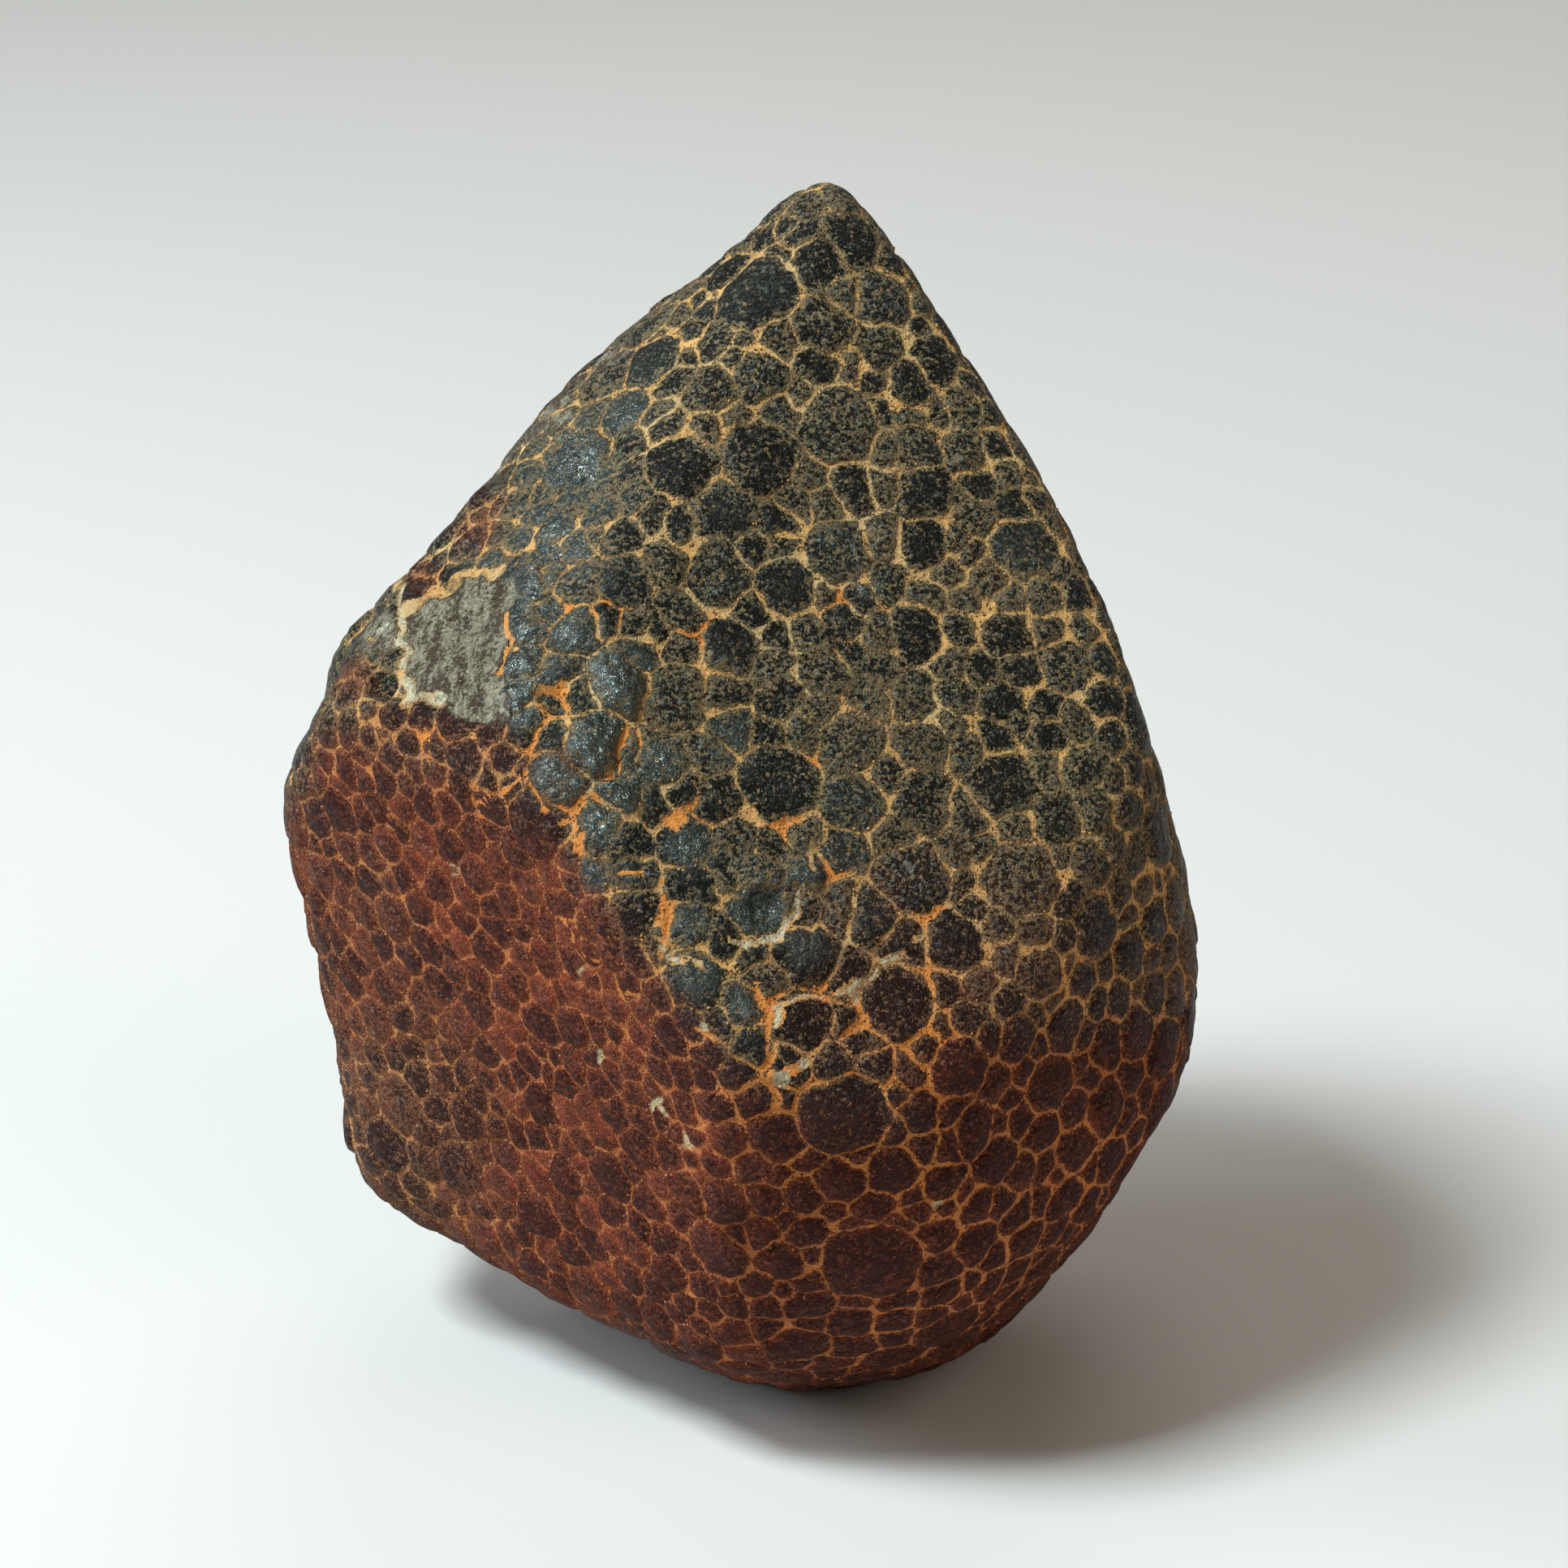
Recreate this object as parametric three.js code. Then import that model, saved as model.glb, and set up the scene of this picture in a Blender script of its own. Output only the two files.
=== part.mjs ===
// Chondrite meteorite: one solid stone, its black crust crazed into small plates.
// Millimetres, +Z up. It stands on its rest spot at z = 0, its lit face turned to -Y.
import * as THREE from "three";
import { ConvexHull } from "three/addons/math/ConvexHull.js";

// ---- driving dimensions -------------------------------------------------------------

const restHeight = 27.8; // heart of the stone above the surface it rests on
const edgeSharpness = 26; // higher keeps the edges between the faces crisper
const grooveDepth = 0.16; // shrinkage cracks below the smooth skin
const plateRise = 0.17; // middle of a plate above the smooth skin, per mm of its radius
const plateRiseMost = 0.27;
const steepest = 0.6; // a plate rises no more than this for each mm in from its border
const shortestCrack = 0.16; // corners nearer together than this become one
const crowding = 0.88; // 1 keeps the plates' circles from overlapping at all
const sightTilt = 20; // the plates of the front are laid out on a plane leaned back by this

// Broad faces left by the flight: turn round Z from -Y towards +X, tilt up, distance out.
const faces = [
  [104, 32, 21.7], // upper right
  [98, 18, 19.7], // right
  [92, 0.5, 22.4], // right, middle
  [83, -15.5, 25.1], // right, low
  [77, -33, 25.8], // lower right
  [64, -46, 29.3], // bottom right
  [40, -62, 29.8], // under, right
  [0, -68.5, 29.0], // under, front
  [-57, -57, 25.8], // bottom left
  [-85, -10.5, 23.3], // left
  [-103, 31, 21.4], // left shoulder
  [-114, 42.5, 21.9], // left slope
  [15, 36, 15.9], // main face
  [-44, -10, 17.6], // lower left face
  [0, -16, 23.2], // lower front
  [40, -3, 22.3], // front right
  [56, 8, 21.5], // right of the front
  [48, -34, 26.7], // lower front, right
  [8, -44, 27.2], // lower front, under
  [-50, 48, 20.0], // bevel along the left slope
  [150, 22, 19.8], // back right
  [-150, 14, 19.2], // back left
  [178, -13, 19.2], // back, low
  [160, -50, 24.6], // under, back right
  [-150, -44, 24.4], // under, back left
];

// Swells and dents on the faces: turn, tilt, width in degrees, height.
const swells = [
  [-84, -42, 10, 1.3], // lower left corner
  [-63, -59, 9, 0.3], // under the lower left corner
  [-24, -60, 9, -0.6], // under the lower left face
  [67, -35, 7, -0.5], // dent low on the right
  [150, 61, 9, 1.5], // tip
  [128, 76, 8, 0.4], // tip, right
  [-127, 59, 10, 0.9], // left slope
  [-155, 62, 9, 1.3], // above the left slope
  [-99, 22, 7, 1.2], // left shoulder
  [-95, 31, 6, 0.5], // above the left shoulder
  [-83, 16, 7, -0.4], // notch under the left shoulder
];

// Plates of the front: across, up, radius, and the rise of one that stands out.
const frontPlates = [
  // tip
  [2.4, 30.6, 1.0], [6.1, 30.2, 0.9], [4.9, 28.5, 1.4], [2.3, 28.9, 0.7], [3.1, 27.3, 1.4],
  [0.5, 29.2, 0.6], [-0.1, 25.8, 2.1, 0.3], [-2.3, 27.7, 0.8], [7.0, 27.6, 0.9], [6.4, 25.5, 1.5],
  [8.4, 25.4, 0.9], [3.3, 24.1, 1.4], [3.1, 22.3, 1.0], [6.0, 23.3, 1.1], [8.7, 22.6, 1.2],
  [-2.0, 23.6, 1.0], [-0.7, 23.7, 0.5], [-5.0, 22.8, 1.6], [-3.8, 25.2, 0.8], [-2.2, 21.0, 1.3],
  [0.3, 21.7, 1.3], [1.5, 19.8, 0.8], [-6.3, 20.3, 1.2], [-4.7, 20.2, 0.6],
  // upper part of the main face
  [4.2, 19.4, 1.9], [0.3, 17.8, 1.8], [-3.4, 17.4, 1.6], [-6.2, 18.3, 1.0], [-6.1, 17.0, 0.7],
  [-8.6, 17.8, 1.8, 0.7], [2.6, 16.8, 0.5], [4.8, 16.2, 0.9], [6.1, 16.6, 0.6], [8.2, 16.2, 1.3],
  [7.9, 18.4, 1.0], [7.7, 19.8, 0.7], [7.6, 21.4, 1.2], [6.1, 20.1, 0.5], [6.2, 18.3, 0.6],
  [10.2, 20.4, 0.9], [10.3, 18.1, 1.0], [11.6, 20.2, 0.8], [11.9, 18.5, 0.9], [10.8, 16.7, 0.7],
  [12.2, 17.0, 0.8], [9.7, 15.9, 0.5], [-1.4, 15.0, 1.5], [1.2, 14.5, 0.7], [2.2, 15.5, 0.6],
  [-3.4, 14.4, 0.6], [-5.9, 15.7, 0.9], [-7.2, 15.3, 1.0], [-6.2, 14.0, 1.0], [-4.0, 12.6, 0.9],
  [-6.1, 11.9, 1.2], [-8.5, 13.4, 0.9], [-1.5, 12.1, 1.5], [1.6, 11.5, 1.4], [1.3, 13.3, 0.6],
  [4.2, 13.2, 1.5], [6.4, 11.9, 0.9], [8.1, 13.6, 1.2], [9.6, 13.7, 0.6], [3.4, 11.1, 0.6],
  [8.3, 11.0, 0.8], [10.6, 15.1, 0.8], [12.6, 15.5, 0.9], [13.8, 15.9, 0.8], [13.0, 13.5, 1.6],
  [10.3, 13.1, 0.6], [11.2, 12.1, 1.0], [10.0, 11.1, 0.6], [12.2, 11.2, 0.7], [14.0, 11.1, 0.9],
  [15.5, 11.3, 0.9], [14.7, 14.8, 0.7], [15.8, 13.2, 0.8],
  // middle of the main face
  [4.2, 9.9, 0.9], [2.6, 9.5, 0.6], [7.8, 9.4, 1.2], [5.9, 9.3, 0.8], [9.6, 9.6, 0.7],
  [12.2, 9.4, 1.1], [14.1, 9.6, 0.8], [15.9, 9.4, 0.7], [-0.9, 8.7, 1.3], [0.9, 7.8, 0.7],
  [1.0, 9.2, 0.7], [3.3, 7.4, 1.1], [4.4, 8.6, 0.5], [6.0, 7.5, 0.8], [9.5, 7.9, 0.8],
  [10.8, 7.6, 0.7], [12.7, 7.6, 0.8], [14.9, 8.0, 1.2], [16.8, 8.3, 0.9], [7.6, 6.3, 1.1],
  [1.7, 6.6, 0.7], [1.3, 5.7, 0.6], [5.4, 6.3, 0.7], [9.6, 6.4, 0.8], [11.8, 6.1, 1.0],
  [13.8, 5.8, 0.6], [-3.5, 6.3, 1.4], [-1.3, 6.5, 0.8], [-6.2, 6.9, 1.3, 0.6],
  [-8.2, 9.4, 1.2, 0.4], [-7.0, 9.9, 0.6], [-5.3, 9.5, 0.6], [-4.5, 9.4, 0.5], [-3.3, 10.2, 0.7],
  [-3.4, 8.7, 0.6], [-8.8, 7.6, 0.9], [16.8, 6.0, 0.9], [16.9, 10.4, 0.7], [-7.3, 4.2, 1.3, 0.5],
  [-4.2, 3.4, 1.2], [-5.8, 3.5, 0.6], [-1.9, 3.6, 0.8], [4.5, 4.1, 1.5], [1.3, 2.3, 1.8],
  [0.9, 4.5, 0.8], [8.0, 4.1, 1.2], [4.7, 1.5, 1.4], [8.0, 1.5, 1.4], [-1.6, 1.6, 1.0],
  [-3.2, 2.1, 0.6], [-6.0, 1.6, 0.8, 0.5], [-4.6, 1.3, 0.6], [-7.0, 0.3, 1.1], [-9.2, 2.2, 1.3],
  [-2.9, -0.5, 1.1], [11.4, 4.5, 0.7], [13.8, 4.5, 0.8], [12.4, 5.3, 0.6], [15.6, 5.2, 0.8],
  [15.8, 3.0, 1.1], [13.8, 2.9, 0.6], [11.7, 2.1, 1.6], [14.3, 0.7, 1.1], [18.2, 2.9, 0.9],
  [17.0, 4.6, 0.8], [18.0, 0.9, 1.1],
  // lower part of the main face and the turn into the lower front
  [7.5, -2.1, 1.6], [9.7, -0.9, 0.6], [9.6, -2.4, 0.5], [12.6, -2.2, 1.9], [10.7, -0.6, 0.6],
  [16.0, -1.6, 1.1], [18.4, -1.3, 1.1], [18.9, -2.9, 0.8], [16.4, -4.6, 1.6], [19.5, -4.4, 1.2],
  [10.3, -3.8, 0.5], [9.4, -5.1, 1.4], [-0.7, -0.4, 0.9], [0.9, -0.6, 0.7], [2.3, 0.0, 0.5],
  [4.2, -0.7, 0.9], [2.5, -1.8, 0.8, 0.4], [0.3, -1.8, 0.9, 0.4], [0.4, -3.6, 1.3, -0.35],
  [-2.7, -2.3, 1.0], [-2.8, -4.2, 1.0], [4.1, -3.4, 0.9], [5.5, -3.8, 1.0], [2.5, -5.6, 1.4],
  [-0.1, -5.5, 0.6], [-2.6, -6.6, 1.5], [-0.4, -7.9, 0.9], [2.4, -8.6, 1.4], [4.2, -8.4, 0.7],
  [6.7, -7.7, 1.7], [12.0, -5.7, 0.7], [10.5, -7.0, 0.8], [10.1, -8.5, 0.9], [13.6, -6.6, 1.3],
  [12.1, -7.9, 0.7], [12.5, -9.7, 1.1], [3.8, -10.7, 0.9], [5.7, -10.9, 0.9], [7.2, -11.0, 0.7],
  [1.6, -12.0, 0.5], [-0.8, -11.2, 0.9], [-2.2, -10.1, 0.8], [1.1, -14.3, 1.4], [7.8, -13.0, 1.0],
  [9.5, -12.8, 0.8], [12.8, -13.6, 0.9], [9.3, -14.7, 0.9], [2.4, -17.0, 1.1], [2.6, -19.0, 0.9],
  [1.2, -16.2, 0.6], [9.0, -16.6, 1.0], [8.6, -19.1, 1.0], [1.4, -20.5, 1.1],
  // left slope with its smooth scar and the square pit beside it
  [-14.0, 8.4, 2.5, -0.1], [-17.9, 7.0, 1.0, -0.75], [-17.9, 9.2, 1.1, 0], [-18.6, 10.6, 0.6],
  [-10.8, 18.9, 0.8], [-11.2, 17.4, 0.8], [-11.6, 15.9, 0.9], [-10.3, 16.2, 0.5],
  [-13.9, 14.0, 1.1], [-12.7, 12.9, 0.7], [-16.5, 11.7, 1.0], [-16.4, 13.1, 0.6],
  [-10.8, 9.4, 0.9, 0.5], [-10.9, 7.8, 0.8, 0.5], [-10.4, 11.6, 0.8, 0.4], [-11.1, 6.3, 0.9, 0.4],
  [-9.5, 12.3, 0.7], [-9.7, 10.5, 0.6, -0.4], [-9.6, 14.5, 0.8], [-11.3, 14.2, 0.7],
  [-11.6, 12.6, 0.9], [-9.2, 6.2, 0.5, -0.5], [-12.3, 4.8, 0.8], [-11.6, 3.3, 0.8],
  [-22.0, 3.6, 0.7, 0.3], [-19.7, 6.7, 0.9],
  // along the ridge and down the lower left face
  [-5.7, -0.4, 0.8], [-5.4, -2.0, 0.7], [-7.5, -2.0, 0.7], [-8.7, -1.3, 0.9], [-4.3, -4.2, 0.5],
  [-3.9, -9.4, 0.9], [-5.4, -9.6, 0.7], [-6.6, -8.3, 0.7], [-7.0, -7.0, 0.6], [-5.9, -11.2, 0.7],
  [-5.5, -12.5, 0.8], [-4.1, -12.9, 0.4], [-2.9, -14.3, 0.5], [-15.7, -14.1, 0.8],
  // lower left face
  [-18.5, 4.5, 0.7], [-16.4, 4.1, 0.8], [-20.9, 3.4, 0.7], [-13.6, 3.4, 1.1], [-20.3, 0.8, 1.1],
  [-20.1, -1.0, 0.7], [-18.3, 1.0, 0.7], [-15.6, 1.2, 0.9], [-14.6, -0.8, 0.9], [-13.3, -0.3, 0.8],
  [-10.0, 0.2, 1.8], [-18.6, -1.4, 0.9], [-16.4, -1.7, 0.7], [-15.1, -2.9, 1.0], [-13.2, -2.2, 0.9],
  [-11.6, -3.5, 0.7], [-9.0, -3.4, 0.8], [-8.6, -2.2, 0.6], [-5.3, -3.6, 1.1], [-22.1, -3.9, 0.8],
  [-20.5, -4.7, 0.6], [-17.7, -4.4, 1.2], [-15.9, -5.9, 1.1], [-14.2, -5.5, 0.7],
  [-12.8, -5.9, 1.1], [-10.6, -4.0, 0.7], [-9.9, -6.1, 0.9], [-9.7, -4.5, 0.6], [-8.5, -6.2, 0.7],
  [-7.8, -4.6, 0.6], [-6.6, -5.8, 0.8], [-5.4, -6.0, 0.7], [-21.8, -7.6, 1.1], [-20.3, -7.8, 1.0],
  [-16.3, -8.3, 1.0], [-11.3, -7.3, 0.8], [-8.6, -7.5, 0.6], [-5.2, -8.2, 0.6], [-21.2, -11.0, 1.1],
  [-14.3, -9.6, 1.1], [-11.7, -9.5, 0.7], [-10.8, -11.1, 0.7], [-10.2, -9.3, 1.1],
  [-8.6, -9.4, 1.1], [-6.6, -9.4, 0.7], [0.1, -9.7, 0.9], [-19.8, -12.5, 0.6], [-19.3, -11.3, 0.7],
  [-18.0, -11.3, 0.7], [-16.9, -12.4, 0.8], [-15.5, -12.2, 0.7], [-14.4, -12.0, 0.6],
  [-12.3, -13.1, 0.6], [-10.4, -13.4, 1.2], [-8.1, -13.3, 0.8], [-7.4, -11.9, 0.8],
  [-4.4, -13.5, 0.6], [-3.5, -11.3, 0.7], [-2.0, -12.7, 1.0], [-0.2, -12.3, 0.9],
  [-20.8, -14.0, 0.8], [-17.9, -13.9, 1.4], [-12.7, -14.6, 0.7], [-9.1, -15.4, 0.6],
  [-5.9, -16.2, 0.6], [-4.0, -15.3, 0.9], [-1.9, -15.4, 0.8], [-19.8, -17.1, 1.0],
  [-17.2, -18.2, 0.7], [-15.7, -18.5, 0.6], [-14.7, -17.1, 1.5], [-12.6, -17.6, 1.0],
  [-10.7, -17.0, 1.0], [-8.2, -18.5, 0.7], [-6.9, -18.5, 0.8], [-5.1, -17.8, 0.9],
  [-3.3, -16.9, 1.1], [-13.7, -20.5, 1.1], [-11.8, -20.1, 0.7], [-10.1, -21.2, 0.9],
  [-7.9, -20.5, 0.8], [-4.2, -21.2, 1.1], [-1.9, -19.9, 1.5], [0.3, -18.9, 0.8], [-6.2, -21.7, 0.9],
  [-3.4, -22.7, 0.6], [-1.0, -22.8, 0.7],
  // lower front and low on the right
  [17.6, -8.0, 1.0], [19.5, -7.9, 1.1], [9.7, -10.9, 1.5], [14.9, -9.3, 1.3], [17.0, -10.3, 1.2],
  [20.1, -10.8, 1.5], [4.3, -13.1, 2.2], [11.6, -11.8, 0.8], [14.1, -12.0, 1.5], [17.0, -13.3, 1.4],
  [19.2, -13.1, 0.8], [6.5, -15.9, 1.3], [10.4, -14.0, 1.2], [11.6, -15.5, 1.2], [14.0, -16.1, 0.7],
  [15.6, -15.3, 1.3], [17.6, -16.1, 1.1], [4.0, -16.4, 1.3], [5.0, -18.7, 0.7], [5.5, -17.6, 0.9],
  [7.0, -18.7, 0.7], [7.6, -17.0, 0.5], [12.0, -17.6, 0.8], [15.1, -17.8, 1.2], [5.6, -20.5, 2.5],
  [10.7, -19.7, 1.1], [13.1, -19.8, 1.1], [0.6, -22.8, 0.8], [2.5, -22.7, 1.1], [4.7, -23.6, 1.1],
  [6.8, -23.6, 0.9], [9.1, -22.2, 1.0], [11.4, -22.0, 1.0],
];

// Plates of the other sides: largest first, and how small they get where they fill in.
const seed = 20261;
const sizeSteps = [
  { radius: 1.75, tries: 900 },
  { radius: 1.5, tries: 1500 },
  { radius: 1.3, tries: 3000 },
  { radius: 1.1, tries: 6000 },
  { radius: 0.92, tries: 12000 },
  { radius: 0.74, tries: 24000 },
  { radius: 0.56, tries: 30000 },
];
const smallestHidden = 0.9; // plates stay larger than this away from the front
// Places where they keep to other sizes: turn, tilt and reach in degrees.
const sizeZones = [
  { turn: 12, tilt: 40, reach: 40, smallest: 0.72, largest: 1.6 }, // main face
  { turn: -46, tilt: -6, reach: 34, smallest: 0.5, largest: 0.92 }, // lower left face
];

// ---- smooth skin --------------------------------------------------------------------

const radians = Math.PI / 180;

function direction(turn, tilt) {
  const level = Math.cos(tilt * radians);
  return new THREE.Vector3(
    Math.sin(turn * radians) * level,
    -Math.cos(turn * radians) * level,
    Math.sin(tilt * radians),
  );
}

const facePlanes = faces.map(([turn, tilt, out]) => ({
  slope: direction(turn, tilt).divideScalar(out),
}));
const swellSpots = swells.map(([turn, tilt, width, height]) => ({
  middle: direction(turn, tilt),
  width: width * radians,
  height,
}));

// How far the skin lies from the heart along a unit vector, and the plane it has there.
function skin(unit) {
  let sum = 0;
  const plane = new THREE.Vector3();
  for (const face of facePlanes) {
    const reach = Math.max(0, unit.dot(face.slope));
    const share = reach ** (edgeSharpness - 1);
    sum += share * reach;
    plane.addScaledVector(face.slope, share);
  }
  const smooth = sum ** (-1 / edgeSharpness);
  plane.multiplyScalar(smooth ** (edgeSharpness - 1));
  let out = smooth;
  for (const swell of swellSpots) {
    const angle = unit.angleTo(swell.middle) / swell.width;
    out += swell.height * Math.exp(-angle * angle);
  }
  return { out, plane };
}

// The nearest point of the skin seen along the line of sight at a spot of the layout plane.
function frontDirection(across, up) {
  const lean = sightTilt * radians;
  const upward = new THREE.Vector3(0, Math.sin(lean), Math.cos(lean));
  const towards = new THREE.Vector3(0, -Math.cos(lean), Math.sin(lean));
  const point = new THREE.Vector3();
  const at = (depth) =>
    point.set(across, 0, 0).addScaledVector(upward, up).addScaledVector(towards, depth);
  let depth = 34;
  while (depth > -12) {
    at(depth);
    if (point.length() < skin(point.clone().normalize()).out) return point.normalize().clone();
    depth -= 0.05;
  }
  return null;
}

// ---- plates -------------------------------------------------------------------------

let state = seed;
function random() {
  state = (state * 1664525 + 1013904223) % 4294967296;
  return state / 4294967296;
}

function randomDirection() {
  const height = random() * 2 - 1;
  const turn = random() * 2 * Math.PI;
  const level = Math.sqrt(1 - height * height);
  return new THREE.Vector3(Math.cos(turn) * level, Math.sin(turn) * level, height);
}

const plates = [];

function addPlate(unit, radius, rise) {
  const { out, plane } = skin(unit);
  const middle = unit.clone().multiplyScalar(out);
  plates.push({ middle, plane, radius, rise });
}

function isFree(point, radius) {
  return plates.every(
    (plate) => plate.middle.distanceTo(point) > (plate.radius + radius) * crowding,
  );
}

for (const [across, up, radius, rise] of frontPlates) {
  const unit = frontDirection(across, up);
  if (unit) addPlate(unit, radius, rise);
}

const sight = direction(0, sightTilt);
const zoneSpots = sizeZones.map((zone) => ({
  ...zone,
  middle: direction(zone.turn, zone.tilt),
  nearest: Math.cos(zone.reach * radians),
}));
for (const { radius, tries } of sizeSteps) {
  for (let turn = 0; turn < tries; turn += 1) {
    const unit = randomDirection();
    const wanted = radius * (0.9 + 0.2 * random());
    const { out, plane } = skin(unit);
    const zone = zoneSpots.find((place) => unit.dot(place.middle) > place.nearest);
    const least = plane.dot(sight) < 0 ? smallestHidden : 0;
    if (wanted < (zone ? zone.smallest : least)) continue;
    if (zone && wanted > zone.largest) continue;
    if (isFree(unit.clone().multiplyScalar(out), wanted)) addPlate(unit, wanted);
  }
}

// ---- which plates are neighbours ------------------------------------------------------

// Seen from the heart the middles lie on a sphere, so their hull joins every one of them.
const seen = plates.map((plate, index) => {
  const point = plate.middle.clone().normalize();
  point.plateIndex = index;
  return point;
});
const hull = new ConvexHull().setFromPoints(seen);
const cells = hull.faces.map((face) => {
  const first = face.edge;
  return [first, first.next, first.next.next].map((edge) => edge.head().point.plateIndex);
});

const cellAt = new Map();
const edgeKey = (from, to) => from * plates.length + to;
function note(index) {
  const [a, b, c] = cells[index];
  cellAt.set(edgeKey(a, b), index);
  cellAt.set(edgeKey(b, c), index);
  cellAt.set(edgeKey(c, a), index);
}
cells.forEach((cell, index) => note(index));

// Lays three middles flat: the first at the origin, the second on the x axis.
function layFlat(a, b, c) {
  const along = plates[b].middle.clone().sub(plates[a].middle);
  const width = along.length();
  along.divideScalar(width);
  const aside = plates[c].middle.clone().sub(plates[a].middle);
  const x = aside.dot(along);
  const y = Math.sqrt(Math.max(aside.lengthSq() - x * x, 1e-9));
  aside.addScaledVector(along, -x).normalize();
  return { along, aside, width, x, y };
}

// The spot that is equally far, by power, from three plates' circles.
function meeting(a, b, c) {
  const flat = layFlat(a, b, c);
  const [first, second, third] = [a, b, c].map((index) => plates[index].radius ** 2);
  const x = (flat.width ** 2 + first - second) / (2 * flat.width);
  const y = (flat.x ** 2 + flat.y ** 2 + first - third - 2 * flat.x * x) / (2 * flat.y);
  return { flat, x, y, power: x * x + y * y - first };
}

// Turns an edge between two cells where the plates across it are the nearer pair.
function turnEdge(a, b) {
  const left = cellAt.get(edgeKey(a, b));
  const right = cellAt.get(edgeKey(b, a));
  const c = cells[left].find((index) => index !== a && index !== b);
  const d = cells[right].find((index) => index !== a && index !== b);
  if (cellAt.has(edgeKey(c, d)) || cellAt.has(edgeKey(d, c))) return false;
  const { flat, x, y, power } = meeting(a, b, c);
  const other = layFlat(a, b, d);
  const reach = (x - other.x) ** 2 + (y + other.y) ** 2 - plates[d].radius ** 2;
  if (reach > power - 1e-6) return false;
  const crossing = flat.x + ((other.x - flat.x) * flat.y) / (flat.y + other.y);
  if (crossing < 0.02 || crossing > flat.width - 0.02) return false;
  cellAt.delete(edgeKey(a, b));
  cellAt.delete(edgeKey(b, a));
  cells[left] = [a, d, c];
  cells[right] = [d, b, c];
  note(left);
  note(right);
  return true;
}

let turned = 1;
for (let round = 0; round < 60 && turned > 0; round += 1) {
  turned = 0;
  for (let index = 0; index < cells.length; index += 1) {
    for (let side = 0; side < 3; side += 1) {
      const cell = cells[index];
      if (turnEdge(cell[side], cell[(side + 1) % 3])) turned += 1;
    }
  }
}

// ---- corners where the cracks meet ----------------------------------------------------

const corners = cells.map(([a, b, c]) => {
  const { flat, x, y } = meeting(a, b, c);
  const point = plates[a].middle.clone();
  point.addScaledVector(flat.along, x).addScaledVector(flat.aside, y);
  const unit = point.normalize();
  return { unit, around: [a, b, c], sum: unit.clone() };
});

const chosen = corners.map((corner, index) => index);
function cornerOf(index) {
  let found = index;
  while (chosen[found] !== found) found = chosen[found];
  return found;
}

// Corners of every plate in order round its middle, seen from outside.
const rings = plates.map(() => []);
cells.forEach((cell, index) => {
  for (const plate of cell) if (rings[plate].length === 0) rings[plate].push(index);
});
rings.forEach((ring, plate) => {
  let index = ring[0];
  while (ring.length < 40) {
    const cell = cells[index];
    const before = cell[(cell.indexOf(plate) + 2) % 3];
    index = cellAt.get(edgeKey(plate, before));
    if (index === ring[0]) break;
    ring.push(index);
  }
});

for (const ring of rings) {
  ring.forEach((here, place) => {
    const first = cornerOf(here);
    const second = cornerOf(ring[(place + 1) % ring.length]);
    if (first === second) return;
    const from = corners[first].unit;
    const to = corners[second].unit;
    const gap = from.distanceTo(to) * skin(from).out;
    if (gap > shortestCrack) return;
    corners[first].sum.add(corners[second].sum);
    corners[first].unit = corners[first].sum.clone().normalize();
    chosen[second] = first;
  });
}

// ---- solid ----------------------------------------------------------------------------

const positions = [];
const triangles = [];

function addPoint(unit, rise) {
  const { out, plane } = skin(unit);
  const point = unit.clone().multiplyScalar(out);
  point.addScaledVector(plane.clone().normalize(), rise);
  point.z = Math.max(point.z + restHeight, 0);
  positions.push(point.x, point.y, point.z);
  return positions.length / 3 - 1;
}

const cornerPoint = new Map();
function pointOfCorner(index) {
  const kept = cornerOf(index);
  if (!cornerPoint.has(kept)) cornerPoint.set(kept, addPoint(corners[kept].unit, -grooveDepth));
  return cornerPoint.get(kept);
}

// How far a point lies from the nearest stretch of a plate's border.
function inwardReach(point, border) {
  const closest = new THREE.Vector3();
  return Math.min(
    ...border.map((here, place) => {
      const next = border[(place + 1) % border.length];
      const from = new THREE.Vector3().fromArray(positions, here * 3);
      const to = new THREE.Vector3().fromArray(positions, next * 3);
      return new THREE.Line3(from, to).closestPointToPoint(point, true, closest).distanceTo(point);
    }),
  );
}

rings.forEach((ring, index) => {
  const border = [...new Set(ring.map(pointOfCorner))];
  if (border.length < 3) return;
  const heart = new THREE.Vector3();
  for (const point of border) {
    heart.add(new THREE.Vector3().fromArray(positions, point * 3));
  }
  heart.divideScalar(border.length);
  const { radius, rise } = plates[index];
  const allowed = steepest * inwardReach(heart, border) - grooveDepth;
  const usual = Math.min(plateRise * radius, plateRiseMost, allowed);
  heart.z -= restHeight;
  const top = addPoint(heart.normalize(), rise ?? usual);
  border.forEach((point, place) => {
    triangles.push(top, point, border[(place + 1) % border.length]);
  });
});

const geometry = new THREE.BufferGeometry();
geometry.setAttribute("position", new THREE.Float32BufferAttribute(positions, 3));
geometry.setIndex(triangles);
geometry.computeVertexNormals();

const crust = new THREE.MeshStandardMaterial({
  name: "crust",
  color: 0x2c2a26,
  roughness: 0.5,
  metalness: 0,
  flatShading: true,
});

const stone = new THREE.Mesh(geometry, crust);
stone.name = "stone";

const group = new THREE.Group();
group.name = "chondrite_meteorite";
group.add(stone);
export default group;
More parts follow.
